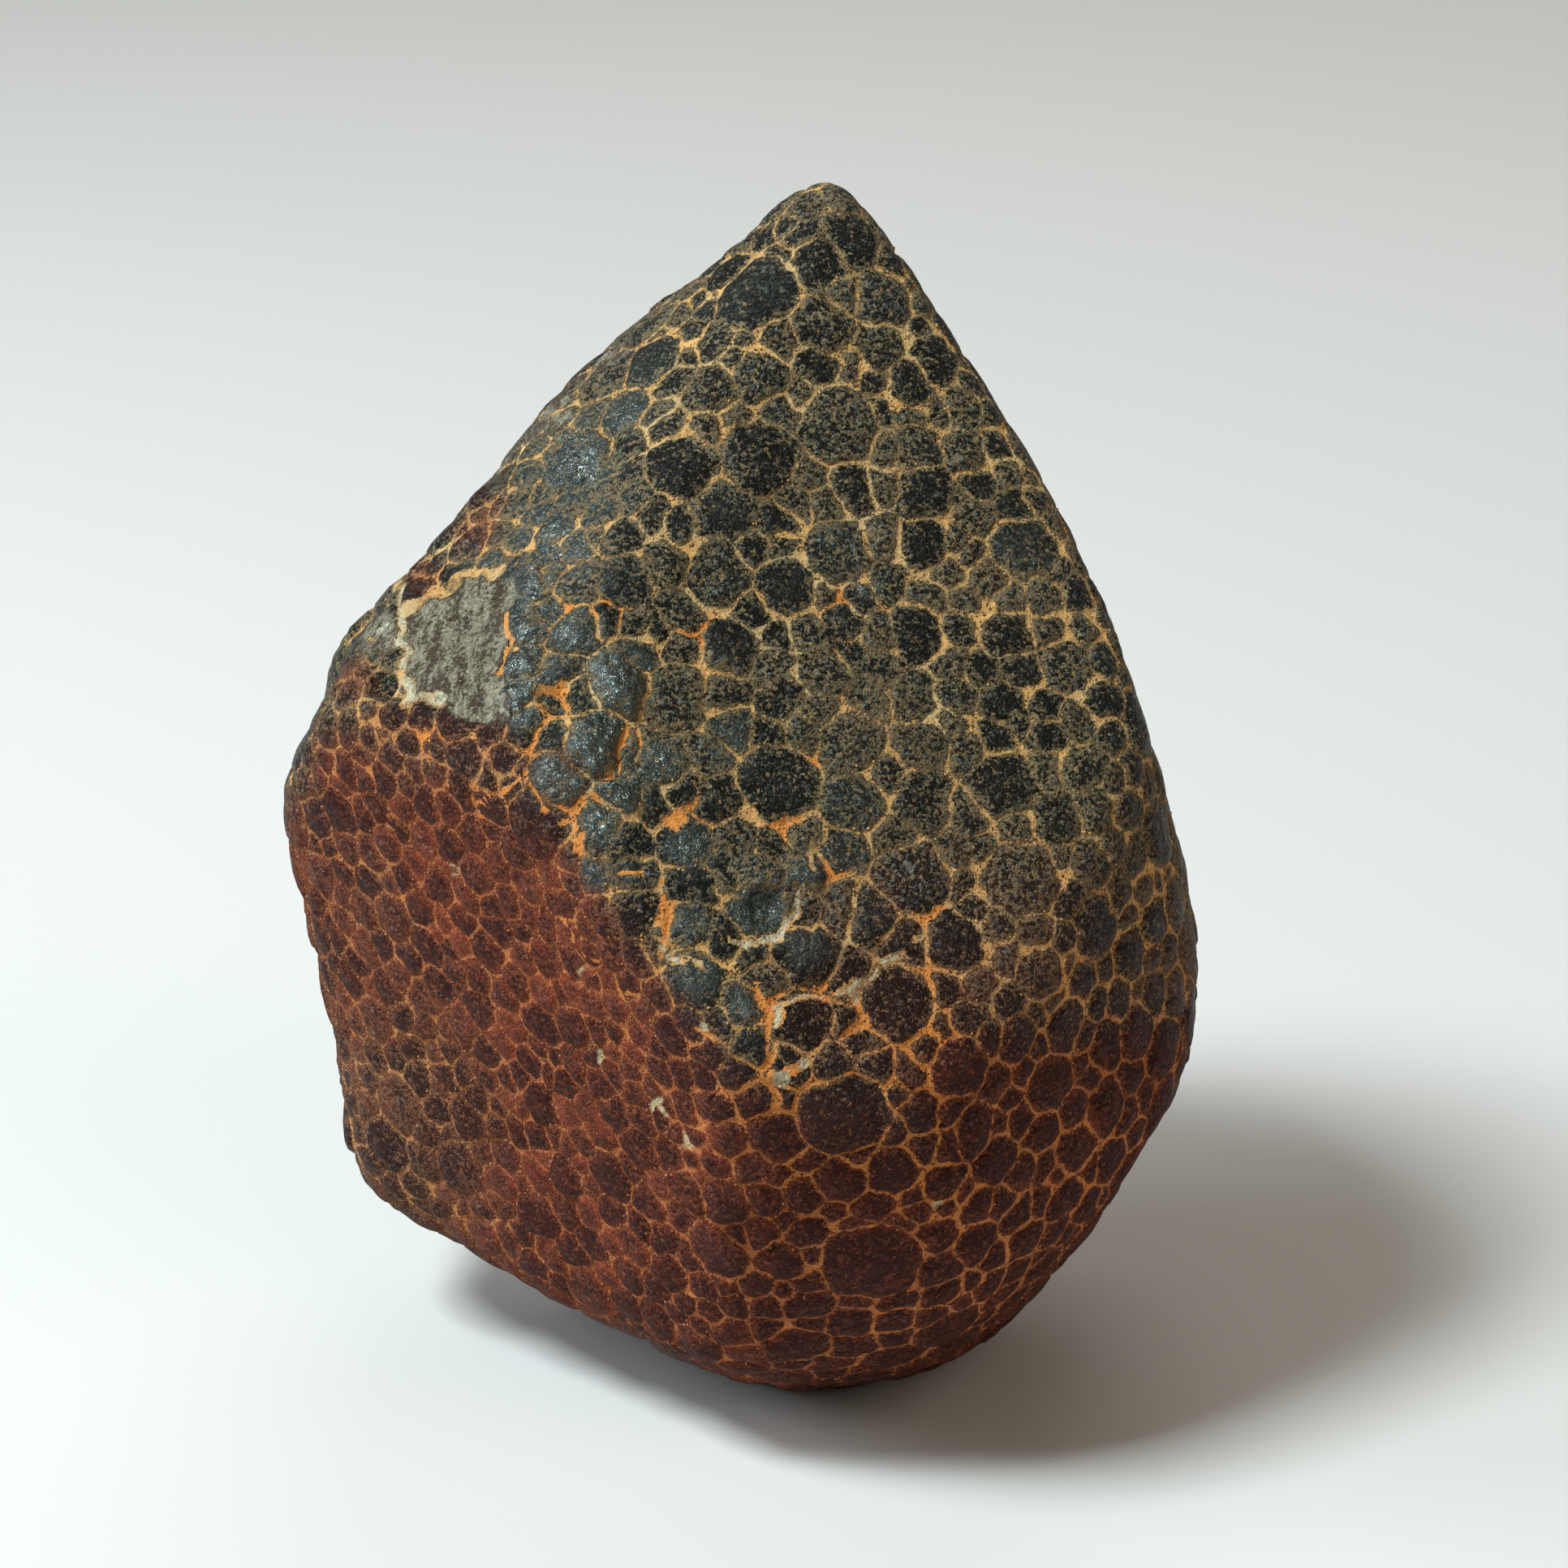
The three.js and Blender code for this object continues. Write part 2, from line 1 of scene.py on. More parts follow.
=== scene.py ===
import math
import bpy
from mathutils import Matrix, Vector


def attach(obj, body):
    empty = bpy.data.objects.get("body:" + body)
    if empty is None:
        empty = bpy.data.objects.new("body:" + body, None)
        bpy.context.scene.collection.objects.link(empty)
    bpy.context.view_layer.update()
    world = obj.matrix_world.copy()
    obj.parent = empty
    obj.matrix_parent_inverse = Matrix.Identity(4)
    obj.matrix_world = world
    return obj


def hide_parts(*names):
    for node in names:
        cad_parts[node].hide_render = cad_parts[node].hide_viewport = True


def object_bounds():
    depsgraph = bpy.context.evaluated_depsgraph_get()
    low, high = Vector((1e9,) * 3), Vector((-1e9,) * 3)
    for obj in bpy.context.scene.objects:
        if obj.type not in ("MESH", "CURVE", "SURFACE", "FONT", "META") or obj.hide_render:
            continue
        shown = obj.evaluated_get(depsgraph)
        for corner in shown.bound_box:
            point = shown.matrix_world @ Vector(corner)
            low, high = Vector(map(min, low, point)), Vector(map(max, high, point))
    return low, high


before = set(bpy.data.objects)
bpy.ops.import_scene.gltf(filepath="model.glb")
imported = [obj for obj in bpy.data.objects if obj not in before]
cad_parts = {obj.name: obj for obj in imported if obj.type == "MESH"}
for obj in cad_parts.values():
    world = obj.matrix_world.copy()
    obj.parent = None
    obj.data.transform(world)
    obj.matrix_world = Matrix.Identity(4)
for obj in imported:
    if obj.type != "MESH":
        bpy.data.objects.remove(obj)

from types import SimpleNamespace

import bmesh
import bpy
import numpy as np
from mathutils import Matrix, Vector, noise

# Chondrite meteorite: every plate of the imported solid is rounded, crazed and coloured.
# Lengths are in millimetres until a mesh is written, and the heart of the stone is at 0, 0, 0.
mm = 0.001
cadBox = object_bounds()
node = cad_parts["stone"]

stoneForm = {
    "heart": 27.8,  # height above the rest spot
    "edgeSharpness": 26,
    "faces": {  # turn from -Y towards +X, tilt up, distance out
        "upper right": (104, 32, 21.7), "right": (98, 18, 19.7), "right middle": (92, 0.5, 22.4),
        "right low": (83, -15.5, 25.1), "lower right": (77, -33, 25.8),
        "bottom right": (64, -46, 29.3), "under right": (40, -62, 29.8),
        "under front": (0, -68.5, 29.0), "bottom left": (-57, -57, 25.8),
        "left": (-85, -10.5, 23.3), "left shoulder": (-103, 31, 21.4),
        "left slope": (-114, 42.5, 21.9), "main": (15, 36, 15.9),
        "lower left": (-44, -10, 17.6), "lower front": (0, -16, 23.2),
        "front right": (40, -3, 22.3), "front right edge": (56, 8, 21.5),
        "lower front right": (48, -34, 26.7), "lower front under": (8, -44, 27.2),
        "bevel": (-50, 48, 20.0), "back right": (150, 22, 19.8), "back left": (-150, 14, 19.2),
        "back low": (178, -13, 19.2), "under back right": (160, -50, 24.6),
        "under back left": (-150, -44, 24.4),
    },
    "swells": [  # turn, tilt, width in degrees, height
        (-84, -42, 10, 1.3), (-63, -59, 9, 0.3), (-24, -60, 9, -0.6), (67, -35, 7, -0.5),
        (150, 61, 9, 1.5), (128, 76, 8, 0.4), (-127, 59, 10, 0.9), (-155, 62, 9, 1.3),
        (-99, 22, 7, 1.2), (-95, 31, 6, 0.5), (-83, 16, 7, -0.4),
    ],
    "sightTilt": 20,  # marks are placed on a plane leaned back by this
    "fade": 1.1,  # how soon the colours of the seen side fade out behind the outline
}


def direction(turn, tilt):
    turn, tilt = math.radians(turn), math.radians(tilt)
    return np.array([math.sin(turn) * math.cos(tilt), -math.cos(turn) * math.cos(tilt),
                     math.sin(tilt)])


faceSlopes = np.array([direction(turn, tilt) / out
                       for turn, tilt, out in stoneForm["faces"].values()])
sightAway = direction(0, stoneForm["sightTilt"])
sightUp = np.array([0, sightAway[2], -sightAway[1]])


def skin(points):
    # where the smooth stone lies along each direction, its normal, and each face's share of it
    units = points / np.linalg.norm(points, axis=1)[:, None]
    reach = np.maximum(units @ faceSlopes.T, 0)
    power = stoneForm["edgeSharpness"]
    total = (reach ** power).sum(axis=1)
    out = total ** (-1 / power)
    shares = reach ** power / total[:, None]
    normals = (reach ** (power - 1)) @ faceSlopes
    normals /= np.linalg.norm(normals, axis=1)[:, None]
    for turn, tilt, width, height in stoneForm["swells"]:
        angle = np.degrees(np.arccos(np.clip(units @ direction(turn, tilt), -1, 1)))
        out = out + height * np.exp(-(angle / width) ** 2)
    return units * out[:, None], normals, shares


def layout(points):
    return np.column_stack([points[:, 0], points @ sightUp])


def readPlates(cadNode):
    # the solid is a fan of triangles round the top of each plate
    work = bmesh.new()
    work.from_mesh(cadNode.data)
    bmesh.ops.remove_doubles(work, verts=work.verts, dist=0.002 * mm)
    points = np.array([vert.co for vert in work.verts]) / mm - [0, 0, stoneForm["heart"]]
    triangles = [[vert.index for vert in face.verts] for face in work.faces]
    work.free()
    across = {}
    for index, (a, b, c) in enumerate(triangles):
        across[a, b] = across[b, c] = across[c, a] = index

    def spread(firstTop):
        # goes from triangle to triangle; a wrong first top clashes with itself somewhere
        tops, waiting, clashes = {0: firstTop}, [0], 0
        while waiting:
            index = waiting.pop()
            triangle, top = triangles[index], tops[index]
            place = triangle.index(top)
            a, b = triangle[(place + 1) % 3], triangle[(place + 2) % 3]
            for pair, shared in (((b, a), None), ((a, top), top), ((top, b), top)):
                other = across.get(pair)
                if other is None:
                    continue
                expected = shared if shared is not None else next(
                    vert for vert in triangles[other] if vert not in pair)
                if other not in tops:
                    tops[other] = expected
                    waiting.append(other)
                elif tops[other] != expected:
                    clashes += 1
        return clashes, tops

    tops = min((spread(vert) for vert in triangles[0]), key=lambda result: result[0])[1]
    following = {}
    for index, top in tops.items():
        triangle = triangles[index]
        place = triangle.index(top)
        following.setdefault(top, {})[triangle[(place + 1) % 3]] = triangle[(place + 2) % 3]
    plates = []
    for top, step in following.items():
        ring = [next(iter(step))]
        while len(ring) < len(step) and step.get(ring[-1]) not in (None, ring[0]):
            ring.append(step[ring[-1]])
        plates.append((top, ring))
    return points, plates


cadPoints, plates = readPlates(node)
print("plates read from the solid:", len(plates))

crustMarks = {  # across, up, reach, strength on the layout plane
    "black": [(-0.1, 25.8, 2.3, 1.0), (7.5, -2.1, 1.7, 0.9), (12.2, 9.4, 1.2, 1.0),
              (6.4, 11.9, 1.0, 0.8), (-5.0, 22.8, 1.5, 0.6), (8.1, 13.6, 1.2, 0.5),
              (-2.0, 23.6, 1.0, 0.5), (-3.4, 17.4, 1.4, 0.4), (1.3, 2.3, 1.7, 0.5),
              (-17.9, 7.0, 1.1, 1.0), (6.1, 30.2, 1.0, 0.5), (4.9, 28.5, 1.2, 0.4),
              (8.2, 16.2, 1.3, 0.7), (0.4, -3.6, 1.4, 0.9), (2.5, -5.6, 1.3, 0.8),
              (11.7, 2.1, 1.6, 0.4), (9.4, -5.1, 1.4, 0.5), (2.4, -8.6, 1.5, 0.4)],
    "glossy": [(-8.6, 17.8, 1.9, 0.8), (-10.9, 9.4, 1.3, 1.0), (-10.9, 7.6, 1.3, 1.0),
               (-10.5, 11.6, 1.2, 0.9), (-11.1, 6.1, 1.2, 0.9), (-6.2, 6.9, 1.5, 1.0),
               (-7.3, 4.2, 1.6, 1.0), (-8.2, 9.4, 1.3, 0.9), (-9.2, 2.4, 1.5, 0.9),
               (-6.0, 1.6, 1.2, 1.0), (-4.2, 3.2, 1.3, 0.7), (-7.0, 0.3, 1.2, 0.7),
               (-3.0, -0.8, 1.3, 0.7), (-10.6, 14.4, 1.8, 0.5), (-6.1, 20.2, 1.4, 0.5),
               (5.5, 11.6, 0.6, 1.0), (0.4, -3.6, 1.5, 0.6), (-3.0, -4.2, 1.3, 0.5),
               (2.4, -1.8, 1.0, 0.6), (2.5, -5.4, 1.4, 0.45), (-0.4, -7.9, 1.0, 0.6),
               (-2.6, -6.6, 1.5, 0.5), (-7.4, -2.0, 1.6, 0.4), (-1.2, 3.6, 1.4, 0.4),
               (-8.5, 13.2, 1.3, 0.5), (-12.6, 12.8, 1.5, 0.4)],
    "dusty": [(3.0, 35.5, 4.0, 0.9), (4.0, 7.6, 4.2, 0.8), (8.5, 20.0, 4.5, 0.6),
              (11.5, 14.5, 4.5, 0.5), (-5.0, 13.0, 3.0, 0.4), (3.0, 29.0, 3.5, 0.5),
              (13.5, 4.0, 4.0, 0.5), (-1.5, 6.3, 3.0, 0.5), (14.5, -3.0, 4.0, 0.3),
              (-9.0, 21.0, 3.5, 0.5)],
    "worn": [(-18.2, 9.5, 1.3, 0.9), (-12.6, 17.4, 1.3, 0.6), (-10.0, 20.6, 1.4, 0.7),
             (-7.2, 23.8, 1.2, 0.7), (-13.6, 15.6, 1.0, 0.4), (-12.4, 6.0, 0.9, 0.3)],
    "ember": [(-6.7, 10.5, 0.9, 0.9), (-2.6, 9.5, 0.9, 1.0), (4.0, 10.8, 0.8, 0.9),
              (-9.0, 10.5, 0.7, 1.0), (-11.6, 8.8, 0.6, 0.6), (-10.2, 4.6, 1.0, 1.0),
              (-5.7, 4.3, 0.7, 1.0), (-13.0, 1.4, 0.9, 0.6), (-8.3, 1.1, 0.9, 0.9),
              (-15.5, 4.3, 0.8, 0.7), (1.6, 0.4, 0.8, 1.0), (-2.4, 1.1, 0.9, 1.0),
              (-1.1, 4.5, 0.7, 0.7), (3.0, -7.4, 0.8, 1.0), (0.8, -7.6, 0.9, 1.0),
              (0.9, -12.4, 1.3, 1.0), (4.9, -8.9, 0.9, 0.8), (8.1, -7.3, 1.0, 0.8),
              (7.9, -10.4, 1.4, 1.0), (2.0, -16.1, 0.8, 0.8), (5.0, -14.8, 1.0, 1.0),
              (7.8, -15.6, 1.4, 0.9), (8.8, -9.3, 0.9, 0.7), (8.5, -3.8, 0.7, 0.9),
              (6.3, 10.7, 0.5, 0.7), (-9.3, 6.1, 0.8, 1.0), (3.8, -1.9, 0.7, 0.8),
              (-3.8, -3.7, 0.7, 0.8), (2.9, 3.4, 0.7, 0.6)],
    "bold": [(1.9, 25.5, 0.8, 0.7), (0.5, 23.2, 0.8, 0.9), (-3.3, 26.4, 0.8, 0.8),
             (-3.2, 23.1, 0.9, 0.9), (-3.8, 19.6, 0.8, 0.9), (-5.0, 18.9, 0.8, 0.9),
             (2.0, 21.0, 0.8, 0.9), (4.5, 21.9, 0.7, 0.8), (-1.8, 16.7, 0.8, 0.9),
             (2.4, 17.6, 0.6, 0.8), (6.2, 16.8, 0.7, 0.9), (2.0, 14.4, 1.0, 1.0),
             (5.8, 14.4, 1.0, 0.9), (-3.1, 13.2, 0.7, 0.7), (2.9, 3.2, 0.8, 0.8),
             (2.8, 0.7, 0.8, 1.0), (3.9, -1.9, 0.8, 1.0), (8.5, -3.8, 0.8, 0.8),
             (6.2, -6.2, 1.0, 0.9), (0.7, -7.9, 1.0, 1.0), (0.9, -11.3, 0.9, 1.0),
             (-3.9, -3.7, 0.9, 1.0), (-4.2, -2.0, 0.9, 1.0), (-4.5, -5.3, 0.7, 0.9),
             (-8.2, 0.3, 0.8, 1.0), (-7.4, 1.9, 0.7, 0.8), (4.9, -8.9, 0.8, 0.8),
             (8.1, -7.3, 0.8, 0.6), (-17.1, 9.4, 0.9, 1.0), (-16.7, 7.0, 0.8, 0.9),
             (-15.0, 6.1, 0.8, 0.3), (-13.3, 12.1, 0.9, 0.8), (-14.3, 15.2, 0.9, 0.9),
             (-7.9, 14.9, 0.9, 0.8), (-9.5, 6.1, 0.9, 0.9), (-7.9, 5.3, 0.8, 0.9),
             (-11.6, 2.2, 0.8, 0.3), (-10.4, 2.4, 0.8, 0.4), (-5.7, 4.3, 0.7, 0.8),
             (-15.7, 13.4, 0.9, 0.8), (-12.2, 17.8, 0.9, 0.8)],
    "fused": [(2.6, 37.5, 3.0, 0.6), (-10.6, 11.8, 1.3, 0.9), (-10.9, 9.6, 1.3, 1.0),
              (-10.9, 7.6, 1.3, 1.0), (-11.1, 5.8, 1.2, 0.8), (-9.4, 2.4, 1.6, 0.7),
              (-2.9, -2.6, 1.8, 0.8), (-0.9, -1.2, 1.6, 0.9), (0.6, -2.2, 1.5, 0.9),
              (-8.0, 16.2, 2.2, 0.7), (-6.4, -0.9, 1.5, 0.8), (-6.0, 2.4, 1.3, 0.6),
              (-5.2, -3.6, 1.2, 0.6), (-6.4, 12.4, 1.8, 0.5), (1.6, 6.6, 2.4, 0.5),
              (-7.4, 4.0, 1.4, 0.5), (4.9, 8.4, 2.0, 0.4)],
    "maroon": [(-13.6, 14.6, 1.3, 0.5), (-16.3, 12.4, 1.1, 0.55), (-13.0, 16.0, 1.0, 0.4),
               (-19.6, 7.2, 1.3, 0.7), (-9.0, 2.8, 1.3, 0.4),
               (-18.0, 4.8, 1.6, 0.8), (-16.2, 4.5, 1.6, 0.85), (-14.3, 4.3, 1.6, 0.85),
               (-12.4, 3.8, 1.6, 0.85), (-10.8, 2.8, 1.4, 0.7), (-9.2, 1.2, 1.2, 0.6)],
    "pale": [(-7.5, -10.7, 0.5, 0.9), (-4.4, -13.0, 0.6, 0.9), (-3.0, -14.5, 0.55, 0.9),
             (1.4, -11.3, 0.55, 0.9), (-10.2, -7.3, 0.36, 0.7), (-8.0, -6.7, 0.42, 0.6),
             (-14.4, -1.9, 0.5, 0.5), (-18.2, 9.9, 0.7, 0.8), (1.9, 0.8, 0.36, 0.7),
             (-22.3, 3.8, 0.6, 0.8), (8.7, -17.6, 0.4, 0.6), (-2.2, -9.0, 0.4, 0.7)],
}
seams = [  # fill that runs free of the cracks: points, half width, how pale, how orange
    ([(-17.7, 12.2), (-17.0, 10.1), (-16.9, 8.4), (-16.8, 7.2), (-16.7, 6.2), (-15.8, 6.2),
      (-14.8, 6.1)], 0.34, 0.6, 0.0),
    ([(-17.0, 10.4), (-15.8, 11.2), (-14.8, 11.9), (-13.6, 12.2), (-12.1, 12.6)], 0.28, 0.2, 0.1),
    ([(-11.4, 9.9), (-11.6, 8.4), (-11.9, 7.4)], 0.20, 0.0, 0.8),
    ([(0.9, -7.9), (1.7, -7.6), (3.2, -7.7), (4.7, -7.4), (5.9, -6.3), (7.3, -5.6), (8.0, -4.7)],
     0.23, 0.65, 0.2),
    ([(-1.0, -5.0), (0.2, -5.2), (1.4, -4.5), (2.1, -3.2), (2.2, -2.8)], 0.26, 0.8, 0.0),
    ([(1.2, -8.0), (1.0, -8.9)], 0.30, 0.8, 0.0), ([(1.2, -11.4), (2.6, -10.7)], 0.28, 0.8, 0.0),
    ([(-4.1, -5.5), (-2.2, -6.2)], 0.22, 0.7, 0.0), ([(2.7, -0.3), (3.0, -1.6)], 0.24, 0.6, 0.0),
    ([(-12.8, 1.5), (-11.7, 1.7), (-10.8, 2.6), (-9.7, 1.3), (-8.4, 0.3), (-8.0, -0.9)],
     0.13, 0.0, 1.0),
    ([(-15.5, 5.1), (-15.4, 3.2), (-14.7, 2.1), (-12.8, 1.5)], 0.07, 0.0, 0.8),
    ([(-5.8, 4.3), (-6.3, 2.8), (-7.3, 1.7), (-8.2, 0.6)], 0.09, 0.0, 1.0),
    ([(-2.8, 1.1), (-3.7, 0.3)], 0.32, 0.0, 1.0),
    ([(-7.3, -1.2), (-5.7, -1.9), (-4.4, -1.7), (-4.1, -2.8), (-4.0, -5.2), (-4.6, -6.2)],
     0.11, 0.0, 0.9),
    ([(-9.0, -3.9), (-7.4, -6.3), (-5.9, -7.5), (-4.3, -8.3), (-2.2, -9.3), (-1.0, -10.0)],
     0.07, 0.0, 1.0),
    ([(0.4, -6.7), (0.6, -8.2), (0.7, -10.1), (0.9, -12.0), (1.2, -13.2)], 0.14, 0.0, 1.0),
]
warmEdge = [(-22.0, 6.0), (-14.0, 4.4), (-8.0, 1.2), (-4.6, -4.0), (0.4, -10.6), (6.0, -12.4),
            (13.0, -10.0), (18.0, -6.0)]  # where the black of the main face turns to brown
scarOutline = [(-17.0, 10.3), (-15.7, 11.1), (-13.5, 12.2), (-12.1, 12.4), (-11.2, 11.8),
               (-11.4, 8.8), (-11.8, 7.3), (-11.0, 5.1), (-12.5, 5.2), (-14.2, 5.7), (-16.5, 6.1)]


def nearMarks(spots, facing, rows, sharp=2):
    # the strongest mark at each point; a sharper mark is even inside and ends at once
    found = np.zeros(len(spots))
    for across, up, reach, strength in rows:
        gap = np.hypot(spots[:, 0] - across, spots[:, 1] - up) / reach
        found = np.maximum(found, strength * np.exp(-gap ** (2 * sharp)))
    return found * facing


def lineGap(spots, points):
    ends = np.array(points, float)
    found = np.full(len(spots), 99.0)
    for start, end in zip(ends[:-1], ends[1:]):
        along = end - start
        share = np.clip((spots - start) @ along / (along @ along), 0, 1)
        found = np.minimum(found, np.linalg.norm(spots - start - share[:, None] * along, axis=1))
    return found


def insideOutline(spots, facing, outline, soft):
    # 1 well inside the outline, 0 well outside
    ends = np.array(outline)
    within = np.zeros(len(spots), bool)
    for (x, y), (nextX, nextY) in zip(ends, np.roll(ends, -1, axis=0)):
        level = (spots[:, 1] > y) != (spots[:, 1] > nextY)
        crossing = x + (spots[:, 1] - y) * (nextX - x) / (nextY - y if nextY != y else 1)
        within ^= level & (spots[:, 0] < crossing)
    gap = lineGap(spots, outline + outline[:1])
    return np.clip(0.5 + np.where(within, gap, -gap) / soft, 0, 1) * facing


crustSizes = {  # of the fine mesh of the crust
    "borderStep": 0.42,  # spacing of the points along a crack
    "fineStep": 0.22,  # the same on plates with fine forms
    "rings": (0.14, 0.34, 0.72, 1.3),  # how far in from the crack the rings of points lie
    "fineRings": (0.1, 0.2, 0.34, 0.52, 0.75, 1.0, 1.35, 1.75),
    "deepestRing": 0.8,  # a ring stays nearer to the border than this share of the plate
    "smallRings": (0.25, 0.6),  # shares of the way in, on plates too small for those rings
    "mostSteps": 12,
    "wander": 0.32,  # how far a crack wanders from a straight line
    "wanderFull": 1.2,  # length of a crack that wanders fully
    "wanderGrowth": 5,  # how soon it does so from its corners
    "wanderSize": 1.3, "kinkSize": 0.5, "kinkShare": 0.5,
    "groove": 0.14,  # cracks below the smooth skin
    "shoulder": 0.25,  # how quickly a plate rounds up from its crack
    "shoulderPower": 1.4,
    "underFill": 0.4,  # share of the fill that lies on the plate's own slope
    "dome": 0.5,  # share of a plate's rise that is spread to its middle
    "domePower": 0.8,
    "leastReach": 0.2,
    "flatter": 0.70,  # plates are flatter than the peaks of the solid
    "plateTilt": 0.04,
    "reliefTilt": 3.5,  # how much more they lean where the relief is stronger
    "plateStep": 0.05,  # how much higher one plate stands than the next
    "closing": 0.75,  # share of its groove that a faint crack loses
    "closedRise": 0.05,
    "emberGroove": 0.12,
    "seamGroove": 0.06,
    "veinHalf": (0.0, 0.067),  # thinnest and widest usual fill, faint cracks have none
    "junctionHalf": 0.125,
    "topHalf": 0.1,
    "halvedAt": 0.5,  # a ring drops every second point once they lie closer than this share of
    "leastHalved": 5,  # the border's spacing, but only with more points than this
}
fineSpots = [(-8.7, 17.6, 2.4), (-10.8, 9.0, 4.2), (-6.6, 5.4, 3.0), (0.6, -3.4, 3.0),
             (-15.6, 9.0, 3.8), (4.0, -7.0, 2.4), (-9.3, 2.4, 1.6), (0.4, -9.5, 2.0)]


def wave(point, size, shift):
    # a smooth change from place to place; the shift only moves its pattern
    return noise.noise(Vector(point) / size + Vector((shift, shift * 0.7, -shift)))


cellsPerMm = 9.7  # so many that no two plates share a random number


def cellRandom(point, shift):
    # an even random number of a place; another shift gives another number
    return noise.cell(Vector(point) * cellsPerMm + Vector((shift, 31.7 - shift, shift * 2.3)))


def isFine(top):
    spot = layout(cadPoints[top][None])[0]
    facing = cadPoints[top] @ sightAway > 0
    return facing and any(math.hypot(spot[0] - across, spot[1] - up) < reach
                          for across, up, reach in fineSpots)


plateTops = np.array([top for top, ring in plates])
topSkin, topNormals = skin(cadPoints[plateTops])[:2]
topRise = ((cadPoints[plateTops] - topSkin) * topNormals).sum(axis=1)
finePlates = [isFine(top) for top, ring in plates]

fineEdges = set()
for (top, ring), fine in zip(plates, finePlates):
    if fine:
        for place, corner in enumerate(ring):
            fineEdges.add(frozenset((corner, ring[(place + 1) % len(ring)])))

rawPoints = []  # before they are laid on the skin
pointVein = []  # half width of the fill beside it
cornerIndex = {}
edgeIndex = {}


def addPoint(point, vein):
    rawPoints.append(point)
    pointVein.append(vein)
    return len(rawPoints) - 1


veinChange = {  # share and size of each change in the width of the fill
    "crack": (1.5, 1.3), "area": (0.6, 5.0), "along": (0.8, 0.7), "junction": (1.6, 1.5),
    "usual": 0.38, "usualJunction": 0.35, "range": (-0.2, 1.3), "junctionReach": 0.3,
}


def changed(name, point, shift):
    share, size = veinChange[name]
    return share * wave(point, size, shift)


def crackHalf(point, mid, cornerGap):
    # half width of the fill at a point of a crack, which is widest where cracks meet
    low, high = crustSizes["veinHalf"]
    least, most = veinChange["range"]
    usual = veinChange["usual"] + changed("crack", mid, 3.1) + changed("area", mid, 8.2)
    half = low + (high - low) * min(most, max(least, usual)) * (1 + changed("along", point, 5.5))
    joint = veinChange["usualJunction"] + changed("junction", point, 12.4)
    nearness = math.exp(-(cornerGap / veinChange["junctionReach"]) ** 2)
    return half + crustSizes["junctionHalf"] * max(0.0, joint) * nearness


def cornerPoint(corner):
    if corner not in cornerIndex:
        point = cadPoints[corner]
        cornerIndex[corner] = addPoint(point, crackHalf(point, point, 0))
    return cornerIndex[corner]


def crackPoints(a, b):
    # points along the crack from corner a to corner b, the last one left out
    key = (min(a, b), max(a, b))
    if key not in edgeIndex:
        start, end = cadPoints[key[0]], cadPoints[key[1]]
        length = np.linalg.norm(end - start)
        step = crustSizes["fineStep" if frozenset(key) in fineEdges else "borderStep"]
        count = max(1, min(crustSizes["mostSteps"], round(length / step)))
        middle = (start + end) / 2
        side = np.cross(middle, end - start)
        side /= np.linalg.norm(side)
        inner = []
        for place in range(1, count):
            share = place / count
            point = start + (end - start) * share
            room = min(1, crustSizes["wanderGrowth"] * share * (1 - share)) \
                * min(1, length / crustSizes["wanderFull"])
            kink = crustSizes["kinkShare"] * wave(point, crustSizes["kinkSize"], 6.1)
            aside = wave(point, crustSizes["wanderSize"], 1.7) + kink
            gap = min(share, 1 - share) * length
            point = point + side * aside * room * crustSizes["wander"]
            inner.append(addPoint(point, crackHalf(point, middle, gap)))
        edgeIndex[key] = [cornerPoint(key[0])] + inner + [cornerPoint(key[1])]
    line = edgeIndex[key]
    return line[:-1] if a == key[0] else line[:0:-1]


def ringDepths(border, middle, fine):
    # how far each ring lies from the border to the middle, as a share of the way
    edge = np.array([rawPoints[index] for index in border])
    along = np.roll(edge, -1, axis=0) - edge
    share = np.clip(((middle - edge) * along).sum(axis=1) / (along ** 2).sum(axis=1), 0, 1)
    inradius = np.linalg.norm(edge + along * share[:, None] - middle, axis=1).min()
    depths = [depth / inradius for depth in crustSizes["fineRings" if fine else "rings"]]
    depths = [depth for depth in depths if depth < crustSizes["deepestRing"]]
    if not depths or (len(depths) < 2 and not fine):
        return crustSizes["smallRings"]
    return depths


def fillPlate(border, middle, fine):
    # rings of points from the border inwards, with half the points once they lie close
    outer, stride, mine = border, 1, []
    for depth in ringDepths(border, middle, fine):
        halve = ((1 - depth) * stride < crustSizes["halvedAt"]
                 and len(outer) > crustSizes["leastHalved"])
        picked = len(outer[::2]) if halve else len(outer)
        stride *= 2 if halve else 1
        source = [border[min(len(border) - 1, index * stride)] for index in range(picked)]
        inner = [addPoint(rawPoints[index] * (1 - depth) + middle * depth, pointVein[index])
                 for index in source]
        for place, a in enumerate(outer):
            after = (place + 1) % len(outer)
            first, second = (place // 2, after // 2) if halve else (place, after)
            faces.append((a, outer[after], inner[first]))
            if first != second:
                faces.append((outer[after], inner[second], inner[first]))
        mine += inner
        outer = inner
    mine.append(addPoint(middle, crustSizes["topHalf"]))
    for place, index in enumerate(outer):
        faces.append((index, outer[(place + 1) % len(outer)], mine[-1]))
    return mine


faces = []
rim = []  # the crack points round each plate
inside = []  # the points inside each plate
for (top, ring), fine in zip(plates, finePlates):
    border = []
    for place, corner in enumerate(ring):
        border += crackPoints(corner, ring[(place + 1) % len(ring)])
    rim.append(border)
    inside.append(fillPlate(border, cadPoints[top], fine))

rawPoints = np.array(rawPoints)
pointVein = np.array(pointVein)
print("crust points:", len(rawPoints), "triangles:", len(faces))

